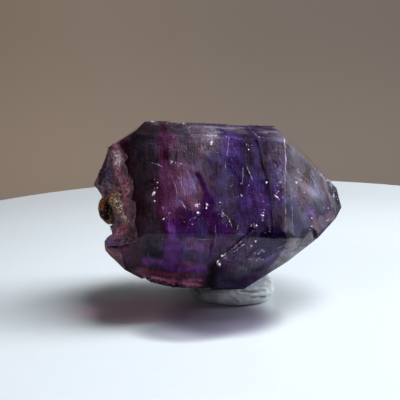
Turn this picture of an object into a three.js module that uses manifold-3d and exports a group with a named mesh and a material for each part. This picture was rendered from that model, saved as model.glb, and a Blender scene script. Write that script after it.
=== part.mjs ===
// Amethyst crystal on a dab of mineral putty, with a crust of matrix on its broken end.
// Millimetres, +Z up, +X along the crystal towards its tip, -Y towards the front.

import * as THREE from 'three';
import { mergeVertices } from 'three/addons/utils/BufferGeometryUtils.js';
import Module from 'manifold-3d';

const wasm = await Module();
wasm.setup();

// ---- Driving dimensions -------------------------------------------------------------------

const gap = 0.3;            // clearance between two pieces that touch
const reach = 60;           // longer than anything in the model, for the blocks that cut it
const axisYaw = 6;          // degrees that the long axis turns away from the front
const axisDip = 1.7;        // degrees that the tip points down
const centreHeight = 16.5;  // crystal centre above the surface that the putty stands on

// Crystal faces. round: degrees round the long axis, 0 at the front and 90 on top.
// lean: degrees between the face's normal and the tip direction. out: distance from the centre.
const faces = {
  prismFront: { round: 30, lean: 90, out: 10.4 },
  prismLowerFront: { round: -30, lean: 90, out: 12.3 },
  prismTop: { round: 90, lean: 88.3, out: 12.6 },
  prismUpperBack: { round: 150, lean: 89, out: 12.6 },
  prismBack: { round: 210, lean: 90, out: 10.4 },
  prismBottom: { round: -90, lean: 90, out: 12.6 },
  shoulderStrip: { round: 29, lean: 74, out: 12.6 },
  tipFront: { round: 27.5, lean: 51.7, out: 14.4 },
  tipLowerFront: { round: -30.5, lean: 61.5, out: 15.4 },
  tipTop: { round: 85, lean: 46, out: 15.9 },
  tipTopBevel: { round: 90, lean: 56, out: 15.9 },
  tipBack: { round: 212, lean: 50, out: 15.4 },
  tipBottom: { round: -76, lean: 52.8, out: 13.4 },
  apexFront: { round: 5, lean: 38.5, out: 17.4 },
  apexChip: { round: 49, lean: 36, out: 16.5 },
  lowerFrontBevel: { round: -34, lean: 86, out: 12.7 },
  lowerEdge: { round: -71, lean: 104, out: 15.2 },
  rearFront: { round: 30, lean: 128, out: 15.8 },
  rearTop: { round: 98.5, lean: 125, out: 18.2 },
  rearUpperBack: { round: 150, lean: 128, out: 16.5 },
  rearLowerFront: { round: -38, lean: 127, out: 19 },
  rearBack: { round: 210, lean: 128, out: 15.6 },
  rearBottom: { round: -117, lean: 128, out: 12.6 },
};

// Growth ledges: a strip of a face, between two places along the axis, that lies lower.
const ledges = [
  { face: 'prismFront', from: -9.8, to: -7.2, depth: 0.16 },
  { face: 'prismFront', from: -3.4, to: 1.5, depth: 0.12 },
  { face: 'prismFront', from: 6.7, to: 7.6, depth: 0.3 },
  { face: 'prismFront', from: 7.6, to: 11.4, depth: 0.14 },
  { face: 'prismTop', from: -8.2, to: -5.6, depth: 0.2 },
  { face: 'prismTop', from: 1.6, to: 5.2, depth: 0.15 },
  { face: 'prismUpperBack', from: -6.5, to: -1.4, depth: 0.22 },
  { face: 'prismUpperBack', from: 3.1, to: 6.8, depth: 0.35 },
  { face: 'prismBack', from: -10.5, to: -6.1, depth: 0.3 },
  { face: 'prismBack', from: 4.4, to: 9.7, depth: 0.25 },
];

// Parallel growth: outlines, along the axis and across it, inside which a face is recessed.
const plates = [
  {
    face: 'prismLowerFront',
    depth: 0.6,
    outline: [[-30, 20], [7.6, 20], [4.6, 5.9], [3.3, 5.2], [-1.1, -1.1], [-1.6, -7.6], [-1.6, -20],
      [-30, -20]],
  },
  {
    face: 'prismBack',
    depth: 0.5,
    outline: [[-2.2, 20], [-1.4, 3.2], [0.9, 0.4], [2.6, -3.9], [2.1, -20], [30, -20], [30, 20]],
  },
];

// Shell-shaped chips: a ball of this radius presses this deep into a face, at a place along and across it.
const shells = [
  { face: 'apexChip', along: 5.2, across: 1.4, radius: 7, depth: 0.35 },
  { face: 'apexChip', along: 9.4, across: 2.6, radius: 5, depth: 0.4 },
  { face: 'apexChip', along: 12.2, across: 1.6, radius: 4, depth: 0.3 },
  { face: 'tipTop', along: 8.6, across: 0.6, radius: 5, depth: 0.3 },
  { face: 'prismBack', along: -3, across: -5.5, radius: 6, depth: 0.5 },
  { face: 'rearUpperBack', along: -2, across: 3, radius: 7, depth: 0.6 },
];

// Small nicks along the edge between two faces, the first of which may be sunk there.
const nicks = [
  { edge: ['prismTop', 'prismUpperBack'], sunk: 0, from: -10.5, to: 9, count: 13, size: 0.42 },
  { edge: ['prismTop', 'prismFront'], sunk: 0, from: -9, to: 9, count: 6, size: 0.3 },
  { edge: ['prismLowerFront', 'prismBottom'], sunk: 0.6, from: -7, to: -2, count: 7, size: 0.5 },
  { edge: ['prismLowerFront', 'lowerEdge'], sunk: 0.6, from: -13, to: -7, count: 9, size: 0.55 },
  { edge: ['prismBack', 'prismBottom'], sunk: 0, from: -10, to: 8, count: 8, size: 0.5 },
  { edge: ['tipTop', 'tipBack'], sunk: 0, from: 12, to: 18, count: 5, size: 0.38 },
];

// Broken end, where the crystal parted from its matrix.
const breakMiddle = -18.5;  // where the break crosses the long axis
const breakSlant = 0.38;    // how much further out it lies for each mm away from the front
const breakRise = 0.08;     // how much further in it lies for each mm up
const breakSpan = 32;
const breakCells = 36;
const breakHollows = [
  { y: -4.5, z: 6, radius: 4.6, depth: 0.9 },
  { y: -7, z: 0.5, radius: 4.2, depth: 0.9 },
  { y: 4, z: -4.2, radius: 4.4, depth: 1.8 },
  { y: 7.5, z: 1.8, radius: 4.2, depth: -1.3 },
  { y: -8, z: -7, radius: 5.4, depth: -3.2 },
];
const breakFacets = 70;

// Matrix crust, and the putty dab.
const crust = { at: [-17.5, -1.8, 16.1], radii: [2.3, 2.8, 2.7], detail: 6 };
const putty = { at: [2.3, 1.2], radii: [7.1, 6.2], height: 4.9, sides: 40 };

// ---- Helpers ------------------------------------------------------------------------------

const degrees = THREE.MathUtils.degToRad;

function randomFrom(seed) {
  let state = seed;
  return () => {
    state = (Math.imul(state, 1664525) + 1013904223) >>> 0;
    return state / 4294967296;
  };
}

function solidOf(geometry) {
  const bare = geometry.clone();
  bare.deleteAttribute('normal');
  bare.deleteAttribute('uv');
  const merged = mergeVertices(bare, 1e-4);
  return new wasm.Manifold(new wasm.Mesh({
    numProp: 3,
    vertProperties: merged.attributes.position.array,
    triVerts: new Uint32Array(merged.index.array),
  }));
}

function geometryOf(solid) {
  const mesh = solid.getMesh();
  const geometry = new THREE.BufferGeometry();
  geometry.setAttribute('position', new THREE.BufferAttribute(mesh.vertProperties, 3));
  geometry.setIndex(new THREE.BufferAttribute(mesh.triVerts, 1));
  return geometry;
}

function normalOf({ round, lean }) {
  const side = Math.sin(degrees(lean));
  return new THREE.Vector3(
    Math.cos(degrees(lean)),
    -side * Math.cos(degrees(round)),
    side * Math.sin(degrees(round)),
  );
}

// A frame that lies in a face: X along the axis, Y across it, Z out of the crystal.
function frameOf(face, lift) {
  const out = normalOf(face);
  const along = new THREE.Vector3(1, 0, 0).projectOnPlane(out).normalize();
  const across = new THREE.Vector3().crossVectors(out, along);
  return new THREE.Matrix4().makeBasis(along, across, out).setPosition(out.multiplyScalar(face.out + lift));
}

// The point where two faces meet, at a place along the axis.
function edgePoint(first, second, along) {
  const a = normalOf(first);
  const b = normalOf(second);
  const p = first.out - a.x * along;
  const q = second.out - b.x * along;
  const size = a.y * b.z - a.z * b.y;
  return new THREE.Vector3(along, (p * b.z - q * a.z) / size, (a.y * q - b.y * p) / size);
}

// ---- Crystal ------------------------------------------------------------------------------

function outsideBlock(face, lift) {
  const block = new THREE.BoxGeometry(reach, reach, reach).translate(0, 0, reach / 2);
  return solidOf(block.applyMatrix4(frameOf(face, lift)));
}

function faceForm(lift) {
  let form = solidOf(new THREE.BoxGeometry(reach, reach, reach));
  for (const face of Object.values(faces)) {
    form = form.subtract(outsideBlock(face, lift));
  }
  return form;
}

function outlineBlock(face, outline, depth) {
  const shape = new THREE.Shape(outline.map(([along, across]) => new THREE.Vector2(along, across)));
  const block = new THREE.ExtrudeGeometry(shape, { depth: reach, bevelEnabled: false });
  return solidOf(block.applyMatrix4(frameOf(face, -depth)));
}

function ledgeBlock({ face, from, to, depth }) {
  const half = reach / 2;
  return outlineBlock(faces[face], [[from, -half], [to, -half], [to, half], [from, half]], depth);
}

function shellBlock({ face, along, across, radius, depth }) {
  const ball = new THREE.IcosahedronGeometry(radius, 14).translate(along, across, radius - depth);
  return solidOf(ball.applyMatrix4(frameOf(faces[face], 0)));
}

function nickBlocks({ edge, sunk, from, to, count, size }, random) {
  const [first, second] = edge.map((name) => faces[name]);
  const lowered = { ...first, out: first.out - sunk };
  const blocks = [];
  for (let i = 0; i < count; i += 1) {
    const place = edgePoint(lowered, second, from + (to - from) * (i + random()) / count);
    const radius = size * (0.6 + 0.8 * random());
    const nick = new THREE.IcosahedronGeometry(radius, 0);
    nick.scale(1 + 2 * random(), 1, 1);
    nick.rotateX(Math.PI * random());
    nick.rotateZ(0.6 * random() - 0.3);
    nick.translate(place.x, place.y, place.z);
    blocks.push(solidOf(nick));
  }
  return blocks;
}

// The break is a slanted surface with shell hollows and small flat facets that step over it.
function makeBreakHeight(random) {
  const facets = Array.from({ length: breakFacets }, () => ({
    y: breakSpan * (random() - 0.5),
    z: breakSpan * (random() - 0.5),
    lift: 0.7 * (random() - 0.5),
    tiltY: 0.5 * (random() - 0.5),
    tiltZ: 0.5 * (random() - 0.5),
  }));
  return (y, z) => {
    const distance = (spot) => Math.hypot(y - spot.y, z - spot.z);
    const near = facets.reduce((best, facet) => (distance(facet) < distance(best) ? facet : best));
    let height = breakMiddle - breakSlant * y + breakRise * z;
    height += near.lift + near.tiltY * (y - near.y) + near.tiltZ * (z - near.z);
    for (const hollow of breakHollows) {
      height += hollow.depth * Math.max(0, 1 - (distance(hollow) / hollow.radius) ** 2);
    }
    return height;
  };
}

function breakBlock(random) {
  const height = makeBreakHeight(random);
  const block = new THREE.BoxGeometry(reach, breakSpan, breakSpan, 1, breakCells, breakCells);
  const position = block.attributes.position;
  for (let i = 0; i < position.count; i += 1) {
    const onBreak = position.getX(i) > 0;
    position.setX(i, onBreak ? height(position.getY(i), position.getZ(i)) : -reach);
  }
  return solidOf(block);
}

function crystalSolid(pocket) {
  const random = randomFrom(11);
  const cuts = [
    ...ledges.map(ledgeBlock),
    ...plates.map(({ face, outline, depth }) => outlineBlock(faces[face], outline, depth)),
    ...shells.map(shellBlock),
    ...nicks.flatMap((row) => nickBlocks(row, random)),
    breakBlock(random),
    pocket,
  ];
  return cuts.reduce((crystal, cut) => crystal.subtract(cut), faceForm(0));
}

// ---- Matrix crust -------------------------------------------------------------------------

// A lumpy ball with a dark hollow that opens to the front and the end.
function crustGeometry(lift) {
  const ball = new THREE.IcosahedronGeometry(1, crust.detail);
  const position = ball.attributes.position;
  const pit = new THREE.Vector3(-0.72, -0.66, -0.1).normalize();
  const point = new THREE.Vector3();
  for (let i = 0; i < position.count; i += 1) {
    point.fromBufferAttribute(position, i);
    const lumps = 0.06 * Math.sin(5 * point.x + 2 * point.z) * Math.cos(4 * point.y)
      + 0.05 * Math.sin(7 * point.z + 3 * point.y)
      + 0.03 * Math.sin(11 * point.x - 8 * point.z);
    const hollow = 0.26 * Math.exp(-12 * (1 - point.dot(pit)));
    const swell = 1 + lumps - hollow;
    position.setXYZ(i, ...crust.radii.map((radius, axis) => {
      const part = point.getComponent(axis);
      return crust.at[axis] + part * (radius * swell + lift);
    }));
  }
  return ball;
}

// ---- Putty --------------------------------------------------------------------------------

// A pressed pebble: flat below, round at the rim, with shallow finger marks.
function puttyGeometry() {
  const profile = new THREE.Path();
  profile.moveTo(0, 0);
  profile.lineTo(0.8, 0);
  profile.bezierCurveTo(0.97, 0.02, 1.04, 0.3, 0.98, 0.55);
  profile.bezierCurveTo(0.9, 0.86, 0.55, 1, 0, 1);
  const points = profile.getPoints(9);
  points[0].x = 0;
  points[points.length - 1].x = 0;
  const dab = new THREE.LatheGeometry(points, putty.sides).rotateX(Math.PI / 2);
  const position = dab.attributes.position;
  for (let i = 0; i < position.count; i += 1) {
    const x = position.getX(i);
    const y = position.getY(i);
    const turn = Math.atan2(y, x);
    const lobes = 0.04 * Math.sin(2 * turn + 0.7) + 0.025 * Math.sin(3 * turn + 2);
    position.setXYZ(
      i,
      putty.at[0] + putty.radii[0] * x * (1 + lobes),
      putty.at[1] + putty.radii[1] * y * (1 + lobes),
      putty.height * position.getZ(i) * (1 + 0.12 * x - 0.05 * y),
    );
  }
  return dab;
}

// ---- Assembly -----------------------------------------------------------------------------

const lie = new THREE.Matrix4()
  .makeRotationFromEuler(new THREE.Euler(0, degrees(axisDip), degrees(axisYaw), 'ZYX'))
  .setPosition(0, 0, centreHeight);
const stand = lie.clone().invert();

const pocket = solidOf(crustGeometry(gap).applyMatrix4(stand));
const seat = solidOf(geometryOf(faceForm(gap)).applyMatrix4(lie));

const crystal = new THREE.Mesh(
  geometryOf(crystalSolid(pocket)),
  new THREE.MeshStandardMaterial({ color: 0x4a2a68, roughness: 0.06, metalness: 0, flatShading: true }),
);
crystal.name = 'amethyst_crystal';
crystal.applyMatrix4(lie);

const matrixRemnant = new THREE.Mesh(
  crustGeometry(0),
  new THREE.MeshStandardMaterial({ color: 0x7a5a34, roughness: 0.9, metalness: 0, flatShading: true }),
);
matrixRemnant.name = 'matrix_remnant';

const puttyDab = new THREE.Mesh(
  geometryOf(solidOf(puttyGeometry()).subtract(seat)),
  new THREE.MeshStandardMaterial({ color: 0xc3cad0, roughness: 0.75, metalness: 0, flatShading: true }),
);
puttyDab.name = 'putty_dab';

const group = new THREE.Group();
group.add(crystal, matrixRemnant, puttyDab);
group.updateMatrixWorld(true);
const box = new THREE.Box3().setFromObject(group, true);
const middle = box.getCenter(new THREE.Vector3());
group.position.set(-middle.x, -middle.y, -box.min.z);

export default group;
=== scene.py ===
import math
from itertools import product

import bmesh
import bpy
import numpy as np
from mathutils import Euler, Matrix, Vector


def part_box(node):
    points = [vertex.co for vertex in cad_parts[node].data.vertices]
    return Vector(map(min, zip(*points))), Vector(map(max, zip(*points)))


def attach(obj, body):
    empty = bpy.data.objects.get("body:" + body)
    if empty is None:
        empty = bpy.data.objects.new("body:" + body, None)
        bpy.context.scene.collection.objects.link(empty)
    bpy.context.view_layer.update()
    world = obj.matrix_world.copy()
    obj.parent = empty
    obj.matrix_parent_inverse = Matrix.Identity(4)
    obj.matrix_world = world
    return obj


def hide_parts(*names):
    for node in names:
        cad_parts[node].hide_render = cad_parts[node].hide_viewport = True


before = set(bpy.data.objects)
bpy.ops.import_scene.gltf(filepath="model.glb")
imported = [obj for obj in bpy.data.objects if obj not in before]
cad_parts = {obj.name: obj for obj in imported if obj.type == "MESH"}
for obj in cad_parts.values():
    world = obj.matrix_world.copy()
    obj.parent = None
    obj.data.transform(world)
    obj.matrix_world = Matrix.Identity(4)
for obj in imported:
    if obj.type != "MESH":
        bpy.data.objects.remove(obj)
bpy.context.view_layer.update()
mm = 0.001

# how the crystal lies: its own frame has X along it to the tip, Y to the back and Z up, in mm
crystalLie = {
    "yaw": 6.0,
    "dip": 1.7,
    "offset": (-0.24, -0.06, -0.31),    # from the middle of its box to its centre
}
crystalCentre = np.mean(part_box("amethyst_crystal"), axis=0) + np.array(crystalLie["offset"]) * mm
crystalTurn = Euler((0, math.radians(crystalLie["dip"]), math.radians(crystalLie["yaw"])))
crystalAxes = np.array(crystalTurn.to_matrix())


def toWorld(points):
    # world = centre + turn * crystal point, in metres
    return crystalCentre + (np.asarray(points) * mm) @ crystalAxes.T


def toCrystal(points):
    # crystal point = turn back * (world - centre), in mm
    return ((np.asarray(points) - crystalCentre) / mm) @ crystalAxes


def unit(vectors):
    # each vector divided by its length
    return vectors / np.linalg.norm(vectors, axis=-1, keepdims=True)


def valueNoise(points, size, seed):
    # a random value at each corner of a lattice of cubes, blended smoothly in between, from -1 to 1
    scaled = np.asarray(points, float) / size
    cell = np.floor(scaled).astype(np.int64)
    part = scaled - cell
    part = part * part * (3 - 2 * part)
    total = np.zeros(scaled.shape[:-1])
    for corner in product((0, 1), repeat=3):
        at = cell + corner
        mixed = at[..., 0] * 73856093 ^ at[..., 1] * 19349663 ^ at[..., 2] * 83492791 ^ seed * 2654435761
        mixed = ((mixed ^ (mixed >> 13)) * 1274126177) & 0xffffffff
        value = ((mixed ^ (mixed >> 16)) & 0xffff) / 32767.5 - 1
        weight = np.prod(np.where(corner, part, 1 - part), axis=-1)
        total += value * weight
    return total


def roughNoise(points, size, seed, octaves=4):
    # value noise, plus itself at half the size and half the strength, and so on
    total = 0
    for octave in range(octaves):
        total = total + valueNoise(points, size / 2 ** octave, seed + octave) / 2 ** octave
    return total


def newPiece(name, points, faces, material, smooth=True):
    # a mesh object with the points, in metres, and the faces
    mesh = bpy.data.meshes.new(name)
    mesh.from_pydata(np.asarray(points).tolist(), [], [list(map(int, f)) for f in faces])
    mesh.polygons.foreach_set("use_smooth", np.full(len(mesh.polygons), smooth))
    mesh.materials.append(material)
    mesh.update()
    piece = bpy.data.objects.new(name, mesh)
    bpy.context.scene.collection.objects.link(piece)
    return piece


def gridFaces(rows, columns, closed=False):
    # quads of a rows x columns grid of points, joined round the columns if closed
    row, column = np.meshgrid(np.arange(rows - 1), np.arange(columns - (not closed)), indexing="ij")
    here, after = row * columns + column, row * columns + (column + 1) % columns
    return np.stack([here, after, after + columns, here + columns], -1).reshape(-1, 4)


def flatten(rings):
    # rings of values as one list, with a single value each for the first ring and the last
    return np.concatenate([rings[0, :1], rings[1:-1].reshape(-1, *rings.shape[2:]), rings[-1, :1]])


def closedSkin(points):
    # a closed skin from rings of points that turn from -Y over +Z as they go along +X:
    # the first and last rings are each one point, fanned to their neighbours
    rings, turns = points.shape[:2]
    body = 1 + gridFaces(rings - 2, turns, True)[:, ::-1]
    here = np.arange(turns)
    after = (here + 1) % turns
    last = 1 + (rings - 2) * turns
    start = np.stack([np.zeros_like(here), 1 + here, 1 + after], -1)
    end = np.stack([np.full_like(here, last), last - turns + after, last - turns + here], -1)
    return flatten(points), [*start.tolist(), *body.tolist(), *end.tolist()]


def paintAttribute(piece, name, values):
    # a colour, or a single number, at every point
    kind, key = ("FLOAT_COLOR", "color") if np.ndim(values) == 2 else ("FLOAT", "value")
    layer = piece.data.attributes.new(name, kind, "POINT")
    layer.data.foreach_set(key, np.asarray(values, np.float32).ravel())


def readOut(items, key, width=1, kind=float):
    # one value, or a row of them, from each of a mesh's items
    values = np.empty(len(items) * width, kind)
    items.foreach_get(key, values)
    return values.reshape(-1, width) if width > 1 else values


class Wire:
    # one output socket; arithmetic on it adds Math nodes to the same graph

    def __init__(self, graph, output):
        self.graph = graph
        self.output = output

    def math(self, operation, *values):
        return self.graph.node("ShaderNodeMath", {"operation": operation}, dict(enumerate(values)))

    def __add__(self, other):
        return self.math("ADD", self, other)

    def __sub__(self, other):
        return self.math("SUBTRACT", self, other)

    def __rsub__(self, other):
        return self.math("SUBTRACT", other, self)

    def __mul__(self, other):
        return self.math("MULTIPLY", self, other)

    def __truediv__(self, other):
        return self.math("DIVIDE", self, other)

    def size(self):
        return self.math("ABSOLUTE", self)

    def rise(self, low, high, bottom=0.0, top=1.0):
        # bottom below low, top above high, smooth between
        settings = {"interpolation_type": "SMOOTHSTEP", "clamp": True}
        sockets = {"Value": self, "From Min": low, "From Max": high, "To Min": bottom, "To Max": top}
        return self.graph.node("ShaderNodeMapRange", settings, sockets)


class Graph:
    # one material: node() makes every node from its type, its settings and its sockets

    def __init__(self, name):
        self.material = bpy.data.materials.new(name)
        self.material.use_nodes = True
        self.tree = self.material.node_tree
        self.tree.nodes.clear()

    def node(self, kind, settings=None, sockets=None, out=0):
        made = self.tree.nodes.new(kind)
        for key, value in (settings or {}).items():
            setattr(made, key, value)
        for key, value in (sockets or {}).items():
            if isinstance(value, Wire):
                self.tree.links.new(value.output, made.inputs[key])
            else:
                made.inputs[key].default_value = value
        return Wire(self, made.outputs[out]) if made.outputs else None

    def vector(self, operation, first, second):
        key = "Scale" if operation == "SCALE" else 1
        return self.node("ShaderNodeVectorMath", {"operation": operation}, {0: first, key: second})

    def place(self):
        # object coordinates in mm
        return self.vector("SCALE", self.node("ShaderNodeTexCoord", out="Object"), 1 / mm)

    def crystalPlace(self):
        # object coordinates turned into the crystal's own frame, in mm
        turn = {"Location": tuple(crystalCentre), "Rotation": tuple(crystalTurn), "Scale": (mm, mm, mm)}
        coordinates = self.node("ShaderNodeTexCoord", out="Object")
        return self.node("ShaderNodeMapping", {"vector_type": "TEXTURE"}, {"Vector": coordinates, **turn})

    def stretched(self, place, scale):
        return self.vector("MULTIPLY", place, scale)

    def turned(self, place, angle):
        # turned about Y by an angle in radians
        return self.node("ShaderNodeMapping", {}, {"Vector": place, "Rotation": (0, angle, 0)})

    def bent(self, place, scale, detail):
        # pushed to and fro by noise
        return self.vector("ADD", place, self.noise(place, scale, detail, 0.6, out="Color"))

    def parts(self, place):
        first = self.node("ShaderNodeSeparateXYZ", {}, {0: place})
        return [Wire(self, output) for output in first.output.node.outputs]

    def noise(self, place, scale, detail=3.0, rough=0.5, distort=0.0, out="Fac"):
        sockets = {"Vector": place, "Scale": scale, "Detail": detail, "Roughness": rough}
        return self.node("ShaderNodeTexNoise", {}, {**sockets, "Distortion": distort}, out)

    def cells(self, place, scale, out="Distance"):
        return self.node("ShaderNodeTexVoronoi", {}, {"Vector": place, "Scale": scale}, out)

    def mix(self, amount, first, second, blend="MIX"):
        settings = {"data_type": "RGBA", "blend_type": blend}
        return self.node("ShaderNodeMix", settings, {0: amount, 6: first, 7: second}, 2)

    def shaded(self, colour, amount):
        return self.vector("SCALE", colour, amount)

    def painted(self, name, out="Color"):
        return self.node("ShaderNodeAttribute", {"attribute_name": name}, out=out)

    def bump(self, height, distance):
        return self.node("ShaderNodeBump", {}, {"Height": height, "Distance": distance})

    def absorption(self, colour, density):
        sockets = {"Color": (*colour, 1), "Density": density}
        return self.node("ShaderNodeVolumeAbsorption", {}, sockets)

    def finish(self, sockets, volume=None):
        # a Principled surface from its sockets, with the volume inside it if there is one
        ends = {"Surface": self.node("ShaderNodeBsdfPrincipled", {}, sockets)}
        if volume is not None:
            ends["Volume"] = volume
        self.node("ShaderNodeOutputMaterial", {}, ends)
        return self.material


print("frame loaded, crystal centre", np.round(crystalCentre / mm, 2), "mm")

# plain pale round table, plain backdrop and soft light
stageSet = {
    "tableRadius": 97.0,
    "tableMiddle": (11.0, -3.0),
    "tableThick": 6.0,
    "wallAway": 480.0,
    "wallSize": 900.0,
}
# light and shade that the crystal throws on the table: middle and half widths in mm, where the patch begins
# and is full as parts of them, its strength and its colour
tablePatches = [
    {"at": (-13, -6), "half": (13, 6.5), "fade": (1.3, 0.1), "share": 0.8, "colour": (0.66, 0.42, 0.56)},
    {"at": (0, -9.4), "half": (9.4, 8.2), "fade": (1.5, 0.3), "share": 0.85, "colour": (0.12, 0.09, 0.16)},
    {"at": (-6, -15.6), "half": (7.5, 4.2), "fade": (1.5, 0.2), "share": 0.62, "colour": (0.12, 0.1, 0.16)},
]


def tableMaterial():
    # pale, with each patch laid over it where the sum of (distance / half width)^2 both ways is small
    g = Graph("pale_table")
    fine = g.noise(g.place(), 0.4)
    colour = g.mix(fine, (0.66, 0.70, 0.735, 1), (0.69, 0.73, 0.765, 1))
    across, back, _ = g.parts(g.place())
    for patch in tablePatches:
        east = (across - patch["at"][0]) / patch["half"][0]
        north = (back - patch["at"][1]) / patch["half"][1]
        cover = (east * east + north * north).rise(*patch["fade"]) * patch["share"]
        colour = g.mix(cover, colour, (*patch["colour"], 1))
    return g.finish({"Base Color": colour, "Roughness": 0.24, "Specular IOR Level": 0.5})


def wallMaterial():
    # warmer to the left, with painted light that makes it brighter low down and painted shade that makes it
    # nearly dark at the top
    g = Graph("warm_grey_wall")
    across, _, up = g.parts(g.place())
    colour = g.mix(across.rise(-120, 60), (0.62, 0.475, 0.36, 1), (0.50, 0.40, 0.335, 1))
    # painted light low down and painted shade towards the top
    colour = g.shaded(colour, up.rise(30, -90, 0.92, 1.22) * up.rise(95, 50, 0.08, 1.0))
    return g.finish({"Base Color": colour, "Roughness": 0.95, "Specular IOR Level": 0.0})


def buildTable():
    # profile of a disc, carried round its middle: point = middle + r(s) * (cos a, sin a), z(s)
    turns = np.linspace(0, 2 * math.pi, 161)[:-1]
    radius = stageSet["tableRadius"] * np.array([0.0, 0.5, 0.985, 0.996, 1.0, 1.0, 0.985, 0.0])
    height = stageSet["tableThick"] * np.array([0.0, 0.0, 0.0, -0.06, -0.25, -0.8, -1.0, -1.0])
    x = stageSet["tableMiddle"][0] + radius[:, None] * np.cos(turns)
    y = stageSet["tableMiddle"][1] + radius[:, None] * np.sin(turns)
    points = np.stack([x, y, np.broadcast_to(height[:, None], x.shape)], -1) * mm
    newPiece("table", *closedSkin(points), tableMaterial())


def buildWall():
    # a flat grid far behind the table, facing it
    across = np.linspace(-1, 1, 9) * stageSet["wallSize"]
    x, z = np.meshgrid(across, across)
    points = np.stack([x, np.full_like(x, stageSet["wallAway"]), z], -1).reshape(-1, 3) * mm
    newPiece("wall", points, gridFaces(9, 9), wallMaterial())


# way: degrees round from +X towards the back, and degrees up; far and size in m
lights = {
    "window": {"way": (12, 62), "far": 0.33, "size": (0.13, 0.32), "power": 2.0, "colour": (0.93, 0.97, 1.0)},
    "side": {"way": (8, 24), "far": 0.4, "size": (0.12, 0.10), "power": 0.7, "colour": (0.93, 0.97, 1.0)},
    "room": {"way": (-140, 34), "far": 0.45, "size": (0.16, 0.16), "power": 0.3, "colour": (1.0, 0.96, 0.93)},
}


def buildLights():
    # a dim even world, and each light facing the crystal's centre from its way
    world = bpy.data.worlds.new("studio")
    world.use_nodes = True
    world.node_tree.nodes["Background"].inputs["Color"].default_value = (0.035, 0.032, 0.034, 1)
    bpy.context.scene.world = world
    for name, values in lights.items():
        turn, rise = np.radians(values["way"])
        way = np.array([math.cos(rise) * math.cos(turn), math.cos(rise) * math.sin(turn), math.sin(rise)])
        light = bpy.data.lights.new(name, "AREA")
        light.shape = "RECTANGLE"
        light.size, light.size_y = values["size"]
        light.energy = values["power"]
        light.color = values["colour"]
        lamp = bpy.data.objects.new(name, light)
        lamp.location = Vector(crystalCentre + way * values["far"])
        lamp.rotation_euler = Vector(way).to_track_quat("Z", "Y").to_euler()
        bpy.context.scene.collection.objects.link(lamp)


# lens, sensor and distances in mm, the target from the crystal's centre
view = {"lens": 85.0, "sensor": 36.0, "rise": 14.0, "away": 158.0, "target": (-3.0, 0.0, 0.85)}


def buildCamera():
    # in front of the target, raised by the rise and looking down by as much
    target = crystalCentre + np.array(view["target"]) * mm
    rise = math.radians(view["rise"])
    at = target + view["away"] * mm * np.array([0, -math.cos(rise), math.sin(rise)])
    lens = bpy.data.cameras.new("camera")
    lens.lens = view["lens"]
    lens.sensor_width = view["sensor"]
    lens.clip_start = 0.005
    camera = bpy.data.objects.new("camera", lens)
    camera.location = Vector(at)
    camera.rotation_euler = (math.radians(90 - view["rise"]), 0, 0)
    bpy.context.scene.collection.objects.link(camera)
    bpy.context.scene.camera = camera


bpy.context.scene.view_settings.view_transform = "Standard"
bpy.context.scene.cycles.transparent_max_bounces = 64
buildCamera()
buildTable()
buildWall()
buildLights()
print("stage and camera ready")


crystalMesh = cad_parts["amethyst_crystal"].data
# how the crystal's form is read from its solid, in mm and square mm
formRules = {
    "shelf": 10,            # a plane's low distance is the one that this much of its area keeps within
    "leastArea": 2.5,       # of a plane that bounds the form
    "leastRear": 10,        # and of one that leans to the broken end
    "pastPlane": 0.6,       # how far the solid may stand past such a plane
    "rear": -0.5,           # the normal's part along the axis, below which a face leans to that end
    "broken": -0.7,         # and below which it belongs to the break
}


def readFaces():
    # the flat faces of the crystal's solid, those of like normal taken together: unit normal, greatest
    # distance from the centre, the distance that a shelf of it keeps within, and area
    normal = readOut(crystalMesh.polygons, "normal", 3) @ crystalAxes
    centre = toCrystal(readOut(crystalMesh.polygons, "center", 3))
    area = readOut(crystalMesh.polygons, "area") / mm ** 2
    which = np.unique(np.round(normal, 2), axis=0, return_inverse=True)[1].ravel()
    summed = np.stack([np.bincount(which, normal[:, axis] * area) for axis in range(3)], -1)
    normals = unit(summed)
    depth = np.sum(centre * normals[which], axis=1)
    outs = np.full(len(normals), -np.inf)
    np.maximum.at(outs, which, depth)
    total = np.bincount(which, area)
    order = np.lexsort((depth, which))
    group, before = which[order], np.cumsum(total) - total
    within = np.cumsum(area[order]) - before[group]
    reached = within >= np.minimum(formRules["shelf"], total * 0.999)[group]
    lows = np.full(len(normals), np.inf)
    np.minimum.at(lows, group[reached], depth[order][reached])
    broken = normal[:, 0] < formRules["broken"]
    breakNormal = unit(np.sum(normal[broken] * area[broken, None], axis=0))
    breakOut = np.sum(centre[broken] @ breakNormal * area[broken]) / area[broken].sum()
    return normals, outs, lows, total, breakNormal, breakOut


def growthForm():
    # the planes that bound the crystal where it has grown, and last the mean plane of its broken end
    normals, outs, lows, areas, breakNormal, breakOut = readFaces()
    support = (toCrystal(readOut(crystalMesh.vertices, "co", 3)) @ normals.T).max(axis=0)
    rear = normals[:, 0] < formRules["rear"]
    large = areas > np.where(rear, formRules["leastRear"], formRules["leastArea"])
    bounding = support - outs < formRules["pastPlane"]
    grown = large & bounding & (normals[:, 0] > formRules["broken"])
    return np.vstack([normals[grown], breakNormal]), np.append(lows[grown], breakOut)


formNormals, formOuts = growthForm()
print("crystal form has", len(formOuts), "planes")


def reachOf(starts, ways, inset, endInset):
    # how far it is from each start, the given way, to the form with its planes moved in:
    # the smallest of (out - normal . start) / (normal . way) over the planes ahead
    sunk = np.repeat(np.asarray(inset, float)[..., None], len(formOuts), axis=-1)
    sunk[..., -1] = endInset
    ahead = ways @ formNormals.T
    room = formOuts - sunk - starts @ formNormals.T
    far = np.where(ahead > 1e-6, room / np.maximum(ahead, 1e-6), np.inf)
    return np.maximum(far.min(axis=-1), 0.0)


def roundWay(degrees):
    # 0 is towards the front, 90 is up
    turn = np.radians(degrees)
    return np.stack([np.zeros_like(turn), -np.cos(turn), np.sin(turn)], -1)


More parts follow.
